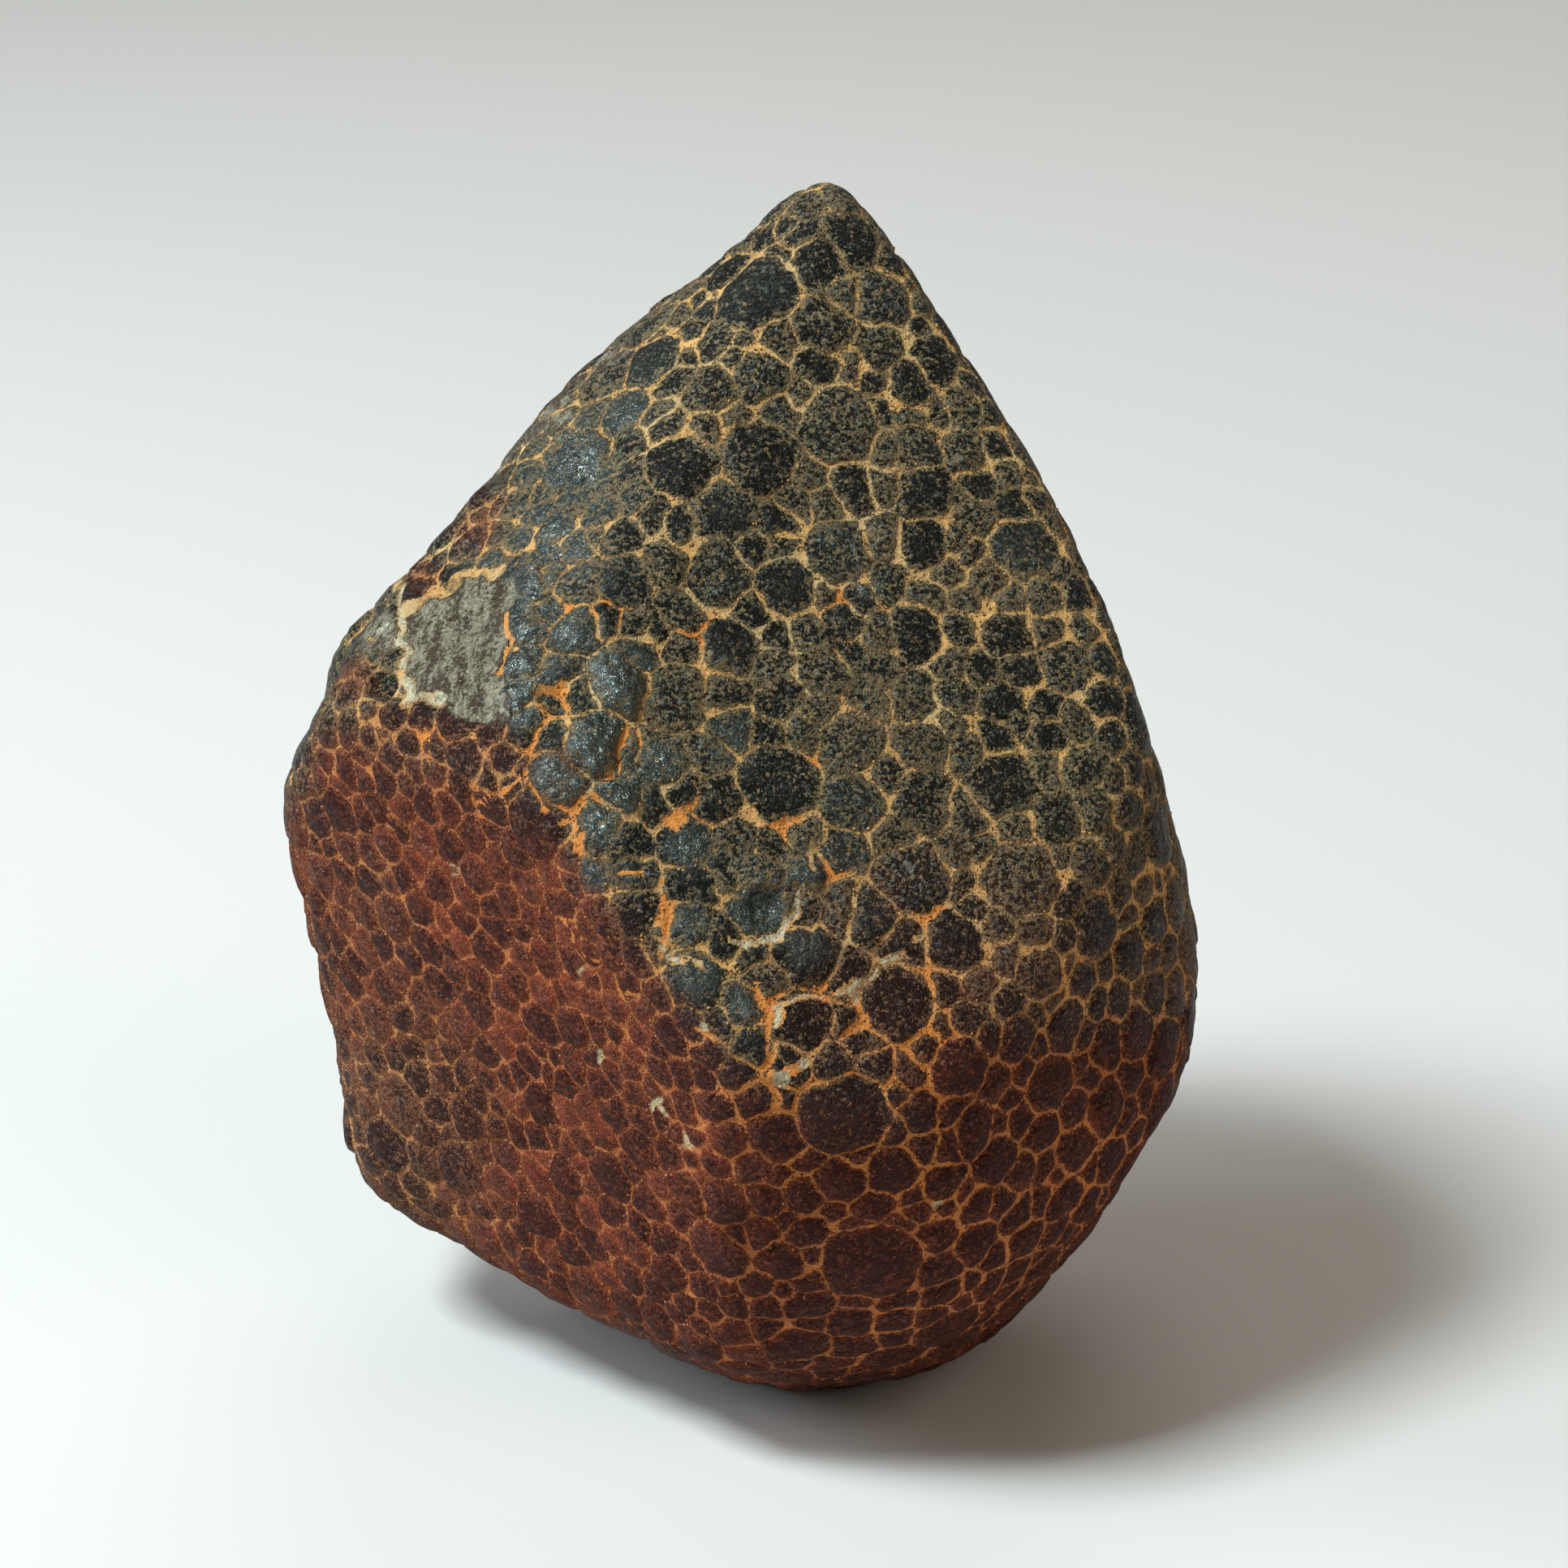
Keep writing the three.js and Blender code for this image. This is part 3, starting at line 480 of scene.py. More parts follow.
# what each point of the crust is like
skinPoints, skinNormals, skinShares = skin(rawPoints)
spots = layout(skinPoints)
rightward, downward = spots[:, 0], -spots[:, 1]
towards = skinNormals @ sightAway
facing = (towards > 0.0).astype(float)
fading = np.clip(0.5 + stoneForm["fade"] * towards, 0, 1)
crackGap = np.zeros(len(rawPoints))
plateReach = np.full(len(rawPoints), 1.0)
for border, mine in zip(rim, inside):
    start = skinPoints[border]
    along = np.roll(start, -1, axis=0) - start
    away = skinPoints[mine][:, None] - start[None]
    share = np.clip((away * along).sum(axis=2) / (along ** 2).sum(axis=1), 0, 1)
    gaps = np.linalg.norm(away - along[None] * share[..., None], axis=2).min(axis=1)
    crackGap[mine] = gaps
    plateReach[mine] = gaps[-1]

faceNames = list(stoneForm["faces"])


def faceShare(weights):
    return sum(skinShares[:, faceNames.index(name)] * weight for name, weight in weights.items())


# faces that turn reddish brown: partly the crust's own brown varnish, partly painted red bounce
# light on the lower and shaded faces
warmFaces = {
    "lower left": 1.0, "lower front": 0.95, "left": 0.55, "bottom left": 0.65,
    "under front": 0.7, "under right": 0.7, "bottom right": 0.8, "lower front right": 1.0,
    "lower front under": 0.9, "front right": 0.45, "lower right": 0.95, "right low": 0.7,
    "front right edge": 0.2, "right middle": 0.25, "under back left": 0.45,
    "under back right": 0.35, "back low": 0.25,
}
leftFaces = {"lower left": 1, "left": 1, "bottom left": 1}
glossyFaces = {"bevel": 0.16, "main": 0.12, "back left": 0.15, "left slope": 0.2}
dustyFaces = {"main": 0.35, "upper right": 0.5, "right": 0.4, "bevel": 0.25, "left slope": 0.5,
              "back right": 0.35, "back left": 0.4, "front right edge": 0.3, "lower left": 0.12,
              "left": 0.3, "back low": 0.3}
wornFaces = {"left slope": 0.32, "left shoulder": 0.2}
reliefFaces = {"lower left": 0.25, "left": 0.15, "bottom left": 0.15, "lower front": 0.3,
               "upper right": -0.25, "right": -0.25, "right middle": -0.2, "left slope": -0.1}
lowZones = {  # sideways start and growth, downward start and growth
    "front": (-7, 6, 8, 5), "right": (4, 5, 7, 4), "main": (-2, 8, -1, 9), "left": (11, 6, 5, 8),
}
crustCast = {  # how strongly each cause changes the crust
    "broadSize": 6.0, "mediumSize": 2.6,  # of the slow changes from place to place
    "driftSize": 1.1, "drift": 0.55,  # how the edges of the marks wander
    "lowStart": 6.0, "lowGrowth": 16.0,
    # how reddish brown the crust turns, partly painted red bounce light
    "warmUsual": 0.45, "warmLow": 1.2, "warmLeft": 0.6, "warmBroad": 0.3, "warmLeast": 0.3,
    "warmUnder": 0.25, "warmRight": 0.95, "warmMain": 0.4, "coolLeft": 0.45,
    "coolEdge": 0.3, "coolReach": 2.6,
    "toneSpread": 0.75, "toneBlack": 0.6, "toneFront": 0.6, "toneMain": 0.2,
    "toneEdge": 0.7, "toneReach": 3.2, "toneBroad": 0.45, "toneMedium": 0.25,
    "glossSpread": 0.25, "glossUsual": 0.6,
    "dustBroad": 1.2, "dustMedium": 0.6, "dustMarks": 0.5, "dustBlack": 0.7,
    "dustLeft": 0.35, "dustFront": 0.4,
    "emberFront": 0.3, "emberMain": 0.2, "emberEdge": 0.12, "emberReach": 2.2,
    "wornUsual": 0.6, "wornMedium": 2.2, "wornMost": 1.6,
    "hiddenEmber": (1.8, 0.35, 0.5), "hiddenPale": (3, 1.3, 0.5),  # growth, start and most
    "scarSoft": 0.5, "scarWrinkle": 0.34, "scarMedium": 0.12, "scarDeeper": 0.04,
    "wrinkleSize": 0.75, "wrinkleStretch": 0.35,
}

plateRandom = np.array([[cellRandom(cadPoints[top], shift) for shift in (1.3, 17.9, 42.1, 77.7)]
                        for top, ring in plates])


def onPlates(values):
    # spreads a value of each plate over its points; a crack takes the mean of its neighbours
    total, count = np.zeros(len(rawPoints)), np.zeros(len(rawPoints))
    for plate, (border, mine) in enumerate(zip(rim, inside)):
        total[mine] = values[plate]
        count[mine] = 1
        total[border] += values[plate]
        count[border] += 1
    return total / np.maximum(count, 1)


def marked(name, sharp=2):
    return nearMarks(spots, facing, crustMarks[name], sharp)


def grown(values, start, growth):
    # 0 up to the start, 1 from a full growth further on
    return np.clip((values - start) / growth, 0, 1)


def lowZone(name, sideways):
    start, growth, below, depth = lowZones[name]
    return grown(sideways, start, growth) * grown(downward, below, depth) * fading


def waves(size, shift):
    return np.array([wave(point, size, shift) for point in skinPoints])


def beside(gap, reach):
    # 1 on a line, and nearly 0 from two reaches away
    return np.exp(-(gap / reach) ** 2)


def patches(name):
    # patches here and there on the hidden sides
    growth, start, most = crustCast[name]
    return np.clip(growth * medium - start, 0, most) * (1 - facing)


cast = crustCast  # a short name for the sums
topSpots = layout(topSkin)
topFacing = (topNormals @ sightAway > 0.0).astype(float)
plateBlack = nearMarks(topSpots, topFacing, crustMarks["black"])
plateTone = np.clip(0.5 + cast["toneSpread"] * (plateRandom[:, 0] - 0.5)
                    - cast["toneBlack"] * plateBlack, 0, 1)
plateGloss = np.clip(cast["glossSpread"] * plateRandom[:, 1] ** 2, 0, 1)

broad, medium = waves(cast["broadSize"], 21.0), waves(cast["mediumSize"], 33.0)
sideDrift, upDrift = waves(cast["driftSize"], 51.0), waves(cast["driftSize"], 63.0)
drifted = spots + cast["drift"] * np.column_stack([sideDrift, upDrift])
edgeGap = lineGap(spots, warmEdge)
lowness = grown(downward, cast["lowStart"], cast["lowGrowth"]) * fading
lowFront, lowRight = lowZone("front", rightward), lowZone("right", rightward)
lowMain, lowLeft = lowZone("main", rightward), lowZone("left", -rightward)

# the reddish brown: partly the crust's own varnish, partly painted red bounce light that grows
# towards the bottom
warmShare = faceShare(warmFaces)
warmth = cast["warmUsual"] + cast["warmLow"] * lowness + faceShare(leftFaces) * cast["warmLeft"]
patchy = cast["warmBroad"] * broad * (cast["warmLeast"] + warmShare)
warm = np.clip(warmShare * np.clip(warmth, 0, 1) + patchy + cast["warmUnder"] * lowness, 0, 1)
warm = np.maximum(warm, marked("maroon"))
gloss = np.clip(marked("glossy", 1) + onPlates(plateGloss)
                + faceShare(glossyFaces) * (cast["glossUsual"] + broad), 0, 1)
tone = np.clip(onPlates(plateTone) - cast["toneFront"] * lowFront
               - cast["toneEdge"] * beside(edgeGap, cast["toneReach"]) * warm, 0, 1)
tone = np.clip(tone + cast["toneBroad"] * broad + cast["toneMedium"] * medium, 0, 1)
tone = np.clip(tone - cast["toneMain"] * lowMain, 0, 1)
warm *= 1 - cast["coolEdge"] * beside(edgeGap, cast["coolReach"]) * facing
warm = np.maximum(warm, cast["warmRight"] * lowRight)
warm = np.maximum(warm, cast["warmMain"] * lowMain)
warm *= 1 - cast["coolLeft"] * lowLeft
dust = np.clip(faceShare(dustyFaces)
               * (1 + cast["dustBroad"] * broad + cast["dustMedium"] * medium)
               + cast["dustMarks"] * marked("dusty", 1)
               - cast["dustBlack"] * onPlates(plateBlack), 0, 1)
dust = np.clip(dust + cast["dustLeft"] * lowLeft - cast["dustFront"] * lowFront, 0, 1)
scar = insideOutline(drifted, facing, scarOutline, cast["scarSoft"])
worn = np.clip(scar + marked("worn")
               + faceShare(wornFaces) * np.clip(
                   cast["wornUsual"] + cast["wornMedium"] * medium, 0, cast["wornMost"]), 0, 1)
ember = np.clip(marked("ember", 1) + cast["emberFront"] * lowFront
                + cast["emberEdge"] * beside(edgeGap, cast["emberReach"]) * facing
                + cast["emberMain"] * lowMain + patches("hiddenEmber"), 0, 1)
pale = marked("pale")
seam = np.zeros(len(spots))
for points, half, paleness, orangeness in seams:
    near = beside(lineGap(drifted, points), half) * facing
    seam = np.maximum(seam, near)
    pale = np.maximum(pale, near * paleness)
    ember = np.maximum(ember, near * orangeness)
pale = np.clip(pale + patches("hiddenPale"), 0, 1)

veinSizes = {
    "narrowerWarm": 0.55, "narrowerFront": 0.35, "narrowerWorn": 0.5,  # shares
    "widerEmber": 0.05, "widerBold": 0.09,
    "closedFused": 0.10, "fusedMarks": 1.2, "fusedScar": 1.5, "fusedMost": 1.5,
    "emberOpen": 0.6,  # how far an orange crack stays open where the plates have fused
    "faintHalf": 0.05, "faintSpan": 0.09,  # where a crack has all but closed
}
veinHalf = pointVein * (1 - veinSizes["narrowerWarm"] * warm * (1 - lowFront))
veinHalf = veinHalf * (1 - veinSizes["narrowerFront"] * lowFront)
veinHalf = veinHalf + veinSizes["widerEmber"] * ember + veinSizes["widerBold"] * marked("bold", 1)
fused = np.clip(marked("fused", 1) * veinSizes["fusedMarks"] + veinSizes["fusedScar"] * scar,
                0, veinSizes["fusedMost"])
veinHalf = veinHalf * (1 - veinSizes["narrowerWorn"] * marked("worn"))
veinHalf = veinHalf - veinSizes["closedFused"] * np.maximum(
    fused - veinSizes["emberOpen"] * ember, 0)
faint = np.clip((veinSizes["faintHalf"] - veinHalf) / veinSizes["faintSpan"], 0, 1)

# how high each point lies over the smooth skin
rise = onPlates(topRise)
groove = crustSizes["groove"] * (1 - crustSizes["closing"] * faint)
groove = groove - crustSizes["closedRise"] * faint
groove += crustSizes["emberGroove"] * marked("ember", 1)
moreRelief = faceShare(reliefFaces)
rise = np.where(rise > 0, rise * (crustSizes["flatter"] + moreRelief), rise)
inward = np.maximum(crackGap - crustSizes["underFill"] * veinHalf, 0)
shoulder = 1 - np.exp(-(inward / crustSizes["shoulder"]) ** crustSizes["shoulderPower"])
domed = np.clip(crackGap / np.maximum(plateReach, crustSizes["leastReach"]), 0, 1)
domed = domed ** crustSizes["domePower"]
risen = (1 - crustSizes["dome"]) * shoulder + crustSizes["dome"] * domed
height = -groove + (rise + groove) * risen
height += crustSizes["plateStep"] * shoulder * onPlates(plateRandom[:, 2] - 0.5)
for plate, mine in enumerate(inside):  # plates lean a little, each its own way
    lean = plateRandom[plate, [0, 1, 3]] - 0.5
    away = skinPoints[mine] - topSkin[plate]
    tilted = crustSizes["plateTilt"] * (1 + crustSizes["reliefTilt"] * moreRelief[mine])
    height[mine] += shoulder[mine] * (away @ lean) * 2 * tilted
height -= crustSizes["seamGroove"] * seam

craterShape = {"bowl": 0.75, "lip": 0.22, "thinnestLip": 0.05}  # shares of the radius, and mm
craters = [  # across, up, radius of the ring, depth, height of the rim
    (0.5, -3.5, 1.0, 0.25, 0.2), (-8.8, 17.3, 0.85, -0.28, -0.12),
    (-1.2, -1.6, 0.5, 0.1, 0.06), (5.2, 15.0, 0.45, 0.08, 0.04), (3.1, 8.0, 0.4, 0.08, 0.05),
]
for across, up, ring, depth, rimHeight in craters:
    gap = np.hypot(rightward - across, -downward - up)
    bowl = np.exp(-(gap / (craterShape["bowl"] * ring)) ** 4)
    lip = beside(gap - ring, craterShape["lip"] * ring + craterShape["thinnestLip"])
    height += facing * (rimHeight * lip - depth * bowl)

bosses = [  # melted lumps that stand out: across, up, radius, height
    (-9.9, 14.2, 0.7, 0.22), (-10.5, 12.1, 0.7, 0.30), (-10.7, 10.9, 0.5, 0.22),
    (-10.8, 9.6, 0.6, 0.32), (-10.9, 8.5, 0.45, 0.26), (-11.0, 7.5, 0.6, 0.34),
    (-10.1, 6.5, 0.6, 0.30), (-11.2, 6.2, 0.5, 0.24), (-6.6, 6.6, 1.1, 0.34),
    (-4.1, 12.4, 0.8, 0.24), (-7.9, 4.1, 1.4, 0.22), (-9.3, 3.4, 0.9, 0.2),
    (-8.9, 8.0, 0.6, 0.2), (-8.2, 9.4, 0.5, 0.18), (-7.0, 8.6, 0.6, 0.2),
    (-6.0, 0.8, 1.0, 0.18), (-3.0, -1.1, 1.1, 0.16), (2.3, -5.5, 0.9, 0.22),
    (1.2, -5.3, 0.6, 0.16), (-5.1, 17.9, 0.8, 0.16), (-7.3, 2.3, 0.7, 0.15),
    (-9.4, 10.8, 0.4, -0.28), (-8.7, 5.7, 0.35, -0.2), (-11.6, 9.0, 0.35, -0.2),
]
for across, up, radius, boss in bosses:
    gap = np.hypot(drifted[:, 0] - across, drifted[:, 1] - up)
    height += facing * boss * np.exp(-(gap / radius) ** 3)
stretched = skinPoints * [1, cast["wrinkleStretch"], cast["wrinkleStretch"]]
wrinkles = np.array([wave(point, cast["wrinkleSize"], 71.0) for point in stretched])
height += scar * (cast["scarWrinkle"] * wrinkles + cast["scarMedium"] * medium
                  - cast["scarDeeper"])


class Reading:
    # a socket of a node tree that can stand in a sum
    def __init__(self, tree, socket):
        self.tree, self.socket = tree, socket

    def withMath(self, operation, first, second):
        return self.tree.value("ShaderNodeMath", {"operation": operation}, {0: first, 1: second})

    def __add__(self, other):
        return self.withMath("ADD", self, other)

    def __sub__(self, other):
        return self.withMath("SUBTRACT", self, other)

    def __rsub__(self, other):
        return self.withMath("SUBTRACT", other, self)

    def __mul__(self, other):
        return self.withMath("MULTIPLY", self, other)

    def __rtruediv__(self, other):
        return self.withMath("DIVIDE", other, self)

    __radd__, __rmul__ = __add__, __mul__


class Tree:
    def __init__(self, nodeTree):
        self.nodeTree = nodeTree

    def feed(self, socket, value):
        # a link where the value is another socket's, and a fixed value otherwise
        if isinstance(value, Reading):
            value = value.socket
        if isinstance(value, bpy.types.NodeSocket):
            self.nodeTree.links.new(value, socket)
        else:
            socket.default_value = value

    def node(self, kind, settings=None, values=None):
        made = self.nodeTree.nodes.new(kind)
        for name, setting in (settings or {}).items():
            setattr(made, name, setting)
        for name, value in (values or {}).items():
            self.feed(made.inputs[name], value)
        return made

    def value(self, kind, settings=None, values=None, output=0):
        return Reading(self, self.node(kind, settings, values).outputs[output])

    def vector(self, operation, values):
        # a bare socket, because only plain values stand in sums
        return self.value("ShaderNodeVectorMath", {"operation": operation}, values).socket

    def larger(self, first, second):
        return self.value("ShaderNodeMath", {"operation": "MAXIMUM"}, {0: first, 1: second})

    def bent(self, place, along, bend):
        # the second place, pushed about by a noise that is read at the first one
        scale, detail, reach = bend
        pushed = self.node("ShaderNodeTexNoise", {}, {
            "Vector": place, "Scale": scale, "Detail": detail})
        return self.vector("MULTIPLY_ADD", {
            0: pushed.outputs["Color"], 1: (reach, reach, reach), 2: along})

    def attribute(self, name):
        return self.value("ShaderNodeAttribute", {"attribute_name": name}, output="Fac")

    def named(self, name):
        # the same for a geometry tree
        return self.value("GeometryNodeInputNamedAttribute", {"data_type": "FLOAT"}, {
            "Name": name})

    def geometry(self, kind, source, values=None):
        return self.node(kind, {}, {"Geometry": source, **(values or {})}).outputs[0]

    def noise(self, place, size, detail=2.0, roughness=0.5):
        return self.value("ShaderNodeTexNoise", {}, {
            "Vector": place, "Scale": 1 / size, "Detail": detail, "Roughness": roughness})

    def between(self, value, low, high, bottom=0.0, top=1.0):
        return self.value("ShaderNodeMapRange", {"interpolation_type": "SMOOTHSTEP"}, {
            "Value": value, "From Min": low, "From Max": high, "To Min": bottom, "To Max": top})

    def mixed(self, factor, first, second):
        made = self.node("ShaderNodeMix", {"data_type": "RGBA"}, {0: factor})
        for socket, colour in ((made.inputs[6], first), (made.inputs[7], second)):
            self.feed(socket, colour if isinstance(colour, Reading) else (*colour, 1))
        return Reading(self, made.outputs[2])

    def random(self, seed, least=0.0, most=1.0):
        # another value, or another three, for each point
        threefold = isinstance(least, tuple)
        first, kind = (0, "FLOAT_VECTOR") if threefold else (2, "FLOAT")
        made = self.node("FunctionNodeRandomValue", {"data_type": kind}, {
            first: least, first + 1: most, "Seed": seed})
        return made.outputs[0 if threefold else 1]


def newMaterial(name):
    material = bpy.data.materials.new(name)
    material.use_nodes = True
    material.node_tree.nodes.clear()
    tree = Tree(material.node_tree)
    shader = tree.node("ShaderNodeBsdfPrincipled")
    tree.node("ShaderNodeOutputMaterial", {}, {"Surface": shader.outputs[0]})
    return material, tree, shader


def linkTo(tree, shader, **values):
    for name, value in values.items():
        tree.feed(shader.inputs[name.replace("_", " ")], value)


crustLook = {
    "black": (0.0048, 0.0044, 0.0026),
    "charcoal": (0.0150, 0.0135, 0.0075),
    # reddish browns of the lower faces: partly the crust's own colour, partly painted red bounce
    # light
    "maroon": (0.040, 0.0058, 0.0024),
    "maroonLight": (0.300, 0.0560, 0.0220),
    # painted glints on the maroon plates
    "maroonPaintedGlint": (0.300, 0.125, 0.085),
    "dustGrey": (0.130, 0.126, 0.085),
    "dustTan": (0.340, 0.240, 0.115),
    "dustBrown": (0.150, 0.098, 0.048),
    "dustWarm": (0.34, 0.100, 0.048),
    # painted glints: bright bluish specks on the bare lumps, the brighter one where the crust is
    # glossy
    "paintedGlint": (0.190, 0.218, 0.185),
    "paintedGlintBright": (0.26, 0.30, 0.28),
    "glaze": (0.084, 0.103, 0.094),  # what the glassy crust mirrors
    "ochre": (0.60, 0.345, 0.125),
    "ochreDeep": (0.210, 0.138, 0.066),
    "orange": (0.62, 0.235, 0.055),
    "rust": (0.350, 0.100, 0.037),
    "rustBright": (0.500, 0.160, 0.050),
    "beige": (0.560, 0.400, 0.190),
    "lime": (0.46, 0.46, 0.34),
    "limeDull": (0.21, 0.20, 0.13),
    "wornBrown": (0.062, 0.042, 0.028),
    "wornBuff": (0.285, 0.262, 0.185),
    "lumpSize": 0.8, "patchSize": 2.2, "fineSize": 0.10, "streakSize": 2.9,
    "blisterSize": 0.55,  # lumps that a plate is made of
    "grainSize": 0.15,  # grains of dust, and of the fused crust
    "lumpBend": (3.5, 2.0, 0.22),  # scale, detail and reach of what bends their outlines
    "grainBend": (9.0, 1.0, 0.16),
    "fibreSize": 0.62, "fibreStretch": (1.0, 0.5, 0.2),
    "fillCover": 0.95, "wornCover": 0.9, "dustCover": 0.95, "dustCoverWarm": 0.45,
    "rough": 0.34, "roughDice": 0.2, "roughFill": 0.92,
    "smootherGloss": 0.15, "rougherDust": 0.45, "rougherWorn": 0.25, "rougherWarm": 0.3,
    "reliefDepth": 0.30 * mm,
    "shine": 0.14, "coatRoughness": 0.46,
}


def crustPatterns(tree):
    # the noises that every part of the crust finish shares, and what the mesh knows of itself
    look, at = crustLook, SimpleNamespace()
    at.gap, at.half = tree.attribute("crackGap"), tree.attribute("veinHalf")
    for name in ("tone", "gloss", "dust", "warm", "worn", "ember", "pale", "seam"):
        setattr(at, name, tree.attribute(name))
    place = tree.value("ShaderNodeTexCoord", output="Object")
    at.place = tree.vector("SCALE", {0: place, "Scale": 1 / mm})
    at.lump = tree.noise(at.place, look["lumpSize"], 3.0, 0.6)
    at.patch = tree.noise(at.place, look["patchSize"], 3.0, 0.6)
    at.fine = tree.noise(at.place, look["fineSize"], 2.0, 0.7)
    at.wander = tree.bent(at.place, at.place, look["lumpBend"])
    jitter = tree.bent(at.place, at.wander, look["grainBend"])
    blister = tree.value("ShaderNodeTexVoronoi", {"feature": "SMOOTH_F1"}, {
        "Vector": at.wander, "Scale": 1 / look["blisterSize"], "Smoothness": 0.15})
    at.blisters = tree.between(blister, 0.0, 0.75, 1.0, 0.0)
    grains = tree.node("ShaderNodeTexVoronoi", {"feature": "F1"}, {
        "Vector": jitter, "Scale": 1 / look["grainSize"]})
    at.grain = tree.between(Reading(tree, grains.outputs["Distance"]), 0.0, 0.72, 1.0, 0.0)
    apart = tree.node("ShaderNodeSeparateColor", {}, {0: grains.outputs["Color"]})
    at.dice, at.other, at.third = (Reading(tree, apart.outputs[channel]) for channel in range(3))
    at.nearVein = tree.between(at.gap - at.half, 0.0, 0.55, 1.0, 0.0)
    at.clear = tree.between(at.blisters + 0.9 * (at.lump - 0.5) + 0.5 * (at.patch - 0.5)
                            - 0.25 * at.nearVein + 0.5 * at.gloss, 0.40, 0.80)
    return at


def fillMask(tree, at):
    # the fill of the cracks laps between the lumps and grains of the plates
    ragged = at.half * (0.6 + 0.8 * at.lump) + 0.10 * (at.dice - 0.5) \
        - 0.07 * (at.blisters - 0.5) + 0.12 * (at.lump - 0.5)
    vein = tree.between(at.gap - ragged, -0.02, 0.05, 1.0, 0.0) \
        * tree.between(at.half, -0.06, 0.02)
    vein = vein * (1 - 0.75 * tree.between(at.dice + 0.2 * at.grain, 0.93, 0.99))
    freeVein = tree.between(at.seam + 0.7 * (at.lump - 0.5) + 0.35 * (at.dice - 0.5), 0.42, 0.62)
    return tree.larger(vein, freeVein)


def dustMask(tree, at):
    # dusty grains lie between the lumps, and more of them near the cracks
    share = 0.30 + 0.35 * at.dust + 0.30 * at.nearVein + 0.6 * (at.patch - 0.5) \
        - 0.30 * at.clear - 0.22 * at.gloss
    share = share * tree.between(at.tone + 0.25 * at.nearVein, 0.0, 0.35, 0.25, 1.0)
    return tree.between(share - at.dice + 0.8 * (at.fine - 0.5), -0.12, 0.06)


def plateColour(tree, at, speck):
    look = crustLook
    margin = tree.between(at.gap - at.half, 0.0, 0.36, 1.0, 0.0)
    dim = tree.between(at.tone, 0.0, 0.5, 0.3, 1.0)
    black = tree.mixed(at.tone, look["black"], look["charcoal"])
    maroon = tree.mixed(tree.between(
        0.50 * at.tone + 1.3 * (at.lump - 0.5) + 0.9 * (at.patch - 0.5)
        + 0.45 * margin * dim + 0.6 * (at.dice - 0.5), 0.05, 1.15),
        look["maroon"], look["maroonLight"])
    # painted glints: some grains of the bare lumps are tinted bright bluish grey, more and
    # brighter on glossy plates, and reddish grey on the maroon plates
    paintedGlint = tree.between(0.10 + 0.60 * at.gloss + 0.5 * (at.lump - 0.5) - at.third,
                         -0.05, 0.05) \
        * (0.35 + 0.65 * at.clear) * tree.between(at.tone, 0.0, 0.3, 0.35, 1.0)
    paintedGlintTint = tree.mixed(tree.between(at.gloss, 0.3, 0.9, 0.0, 0.8), look["paintedGlint"],
                           look["paintedGlintBright"])
    black = tree.mixed(paintedGlint * tree.between(at.fine, 0.25, 0.70, 0.3, 1.0), black, paintedGlintTint)
    maroon = tree.mixed(paintedGlint * 0.6, maroon, look["maroonPaintedGlint"])
    # the warm share brings reddish brown to the plates and their dust, partly painted red bounce
    # light
    base = tree.mixed(at.warm, black, maroon)
    dustTint = tree.mixed(at.other, look["dustGrey"], look["dustTan"])
    brownish = tree.between(at.patch, 0.35, 0.65, 0.0, 0.45)
    dustTint = tree.mixed(brownish, dustTint, look["dustBrown"])
    dustTint = tree.mixed(at.warm, dustTint, look["dustWarm"])
    dustTint = tree.mixed(tree.between(at.fine, 0.25, 0.7, 0.35, 1.0), (0.0, 0.0, 0.0), dustTint)
    cover = look["dustCover"] - look["dustCoverWarm"] * at.warm
    return tree.mixed(speck * cover, base, dustTint)


def sandColour(tree, at):
    look = crustLook
    sand = tree.mixed(tree.between(0.5 * at.fine + 0.35 * at.other + 3.0 * at.half
                                   + 1.2 * (at.patch - 0.5), 0.30, 0.90),
                      look["ochreDeep"], look["ochre"])
    streaks = tree.between(tree.noise(at.place, look["streakSize"], 2.0, 0.5), 0.50, 0.66)
    sand = tree.mixed(0.7 * streaks, sand, look["beige"])
    sand = tree.mixed(tree.between(at.ember + 0.8 * (at.lump - 0.5) + 1.5 * at.half, 0.30, 0.80),
                      sand, look["orange"])
    rust = tree.mixed(tree.between(at.patch + 0.4 * (at.fine - 0.5) + 2.0 * at.half, 0.50, 0.80),
                      look["rust"], look["rustBright"])
    # rusty fill in the cracks of the warm faces, partly painted red bounce light
    rusty = at.warm * 0.95 * tree.between(at.ember, 0.3, 0.9, 1.0, 0.4)
    return tree.mixed(rusty, sand, rust)


def limeColour(tree, at):
    look = crustLook
    tint = tree.mixed(tree.between(0.5 * at.fine + 0.5 * at.other, 0.25, 0.55),
                      look["limeDull"], look["lime"])
    return tree.mixed(at.warm * 0.6, tint, look["beige"])


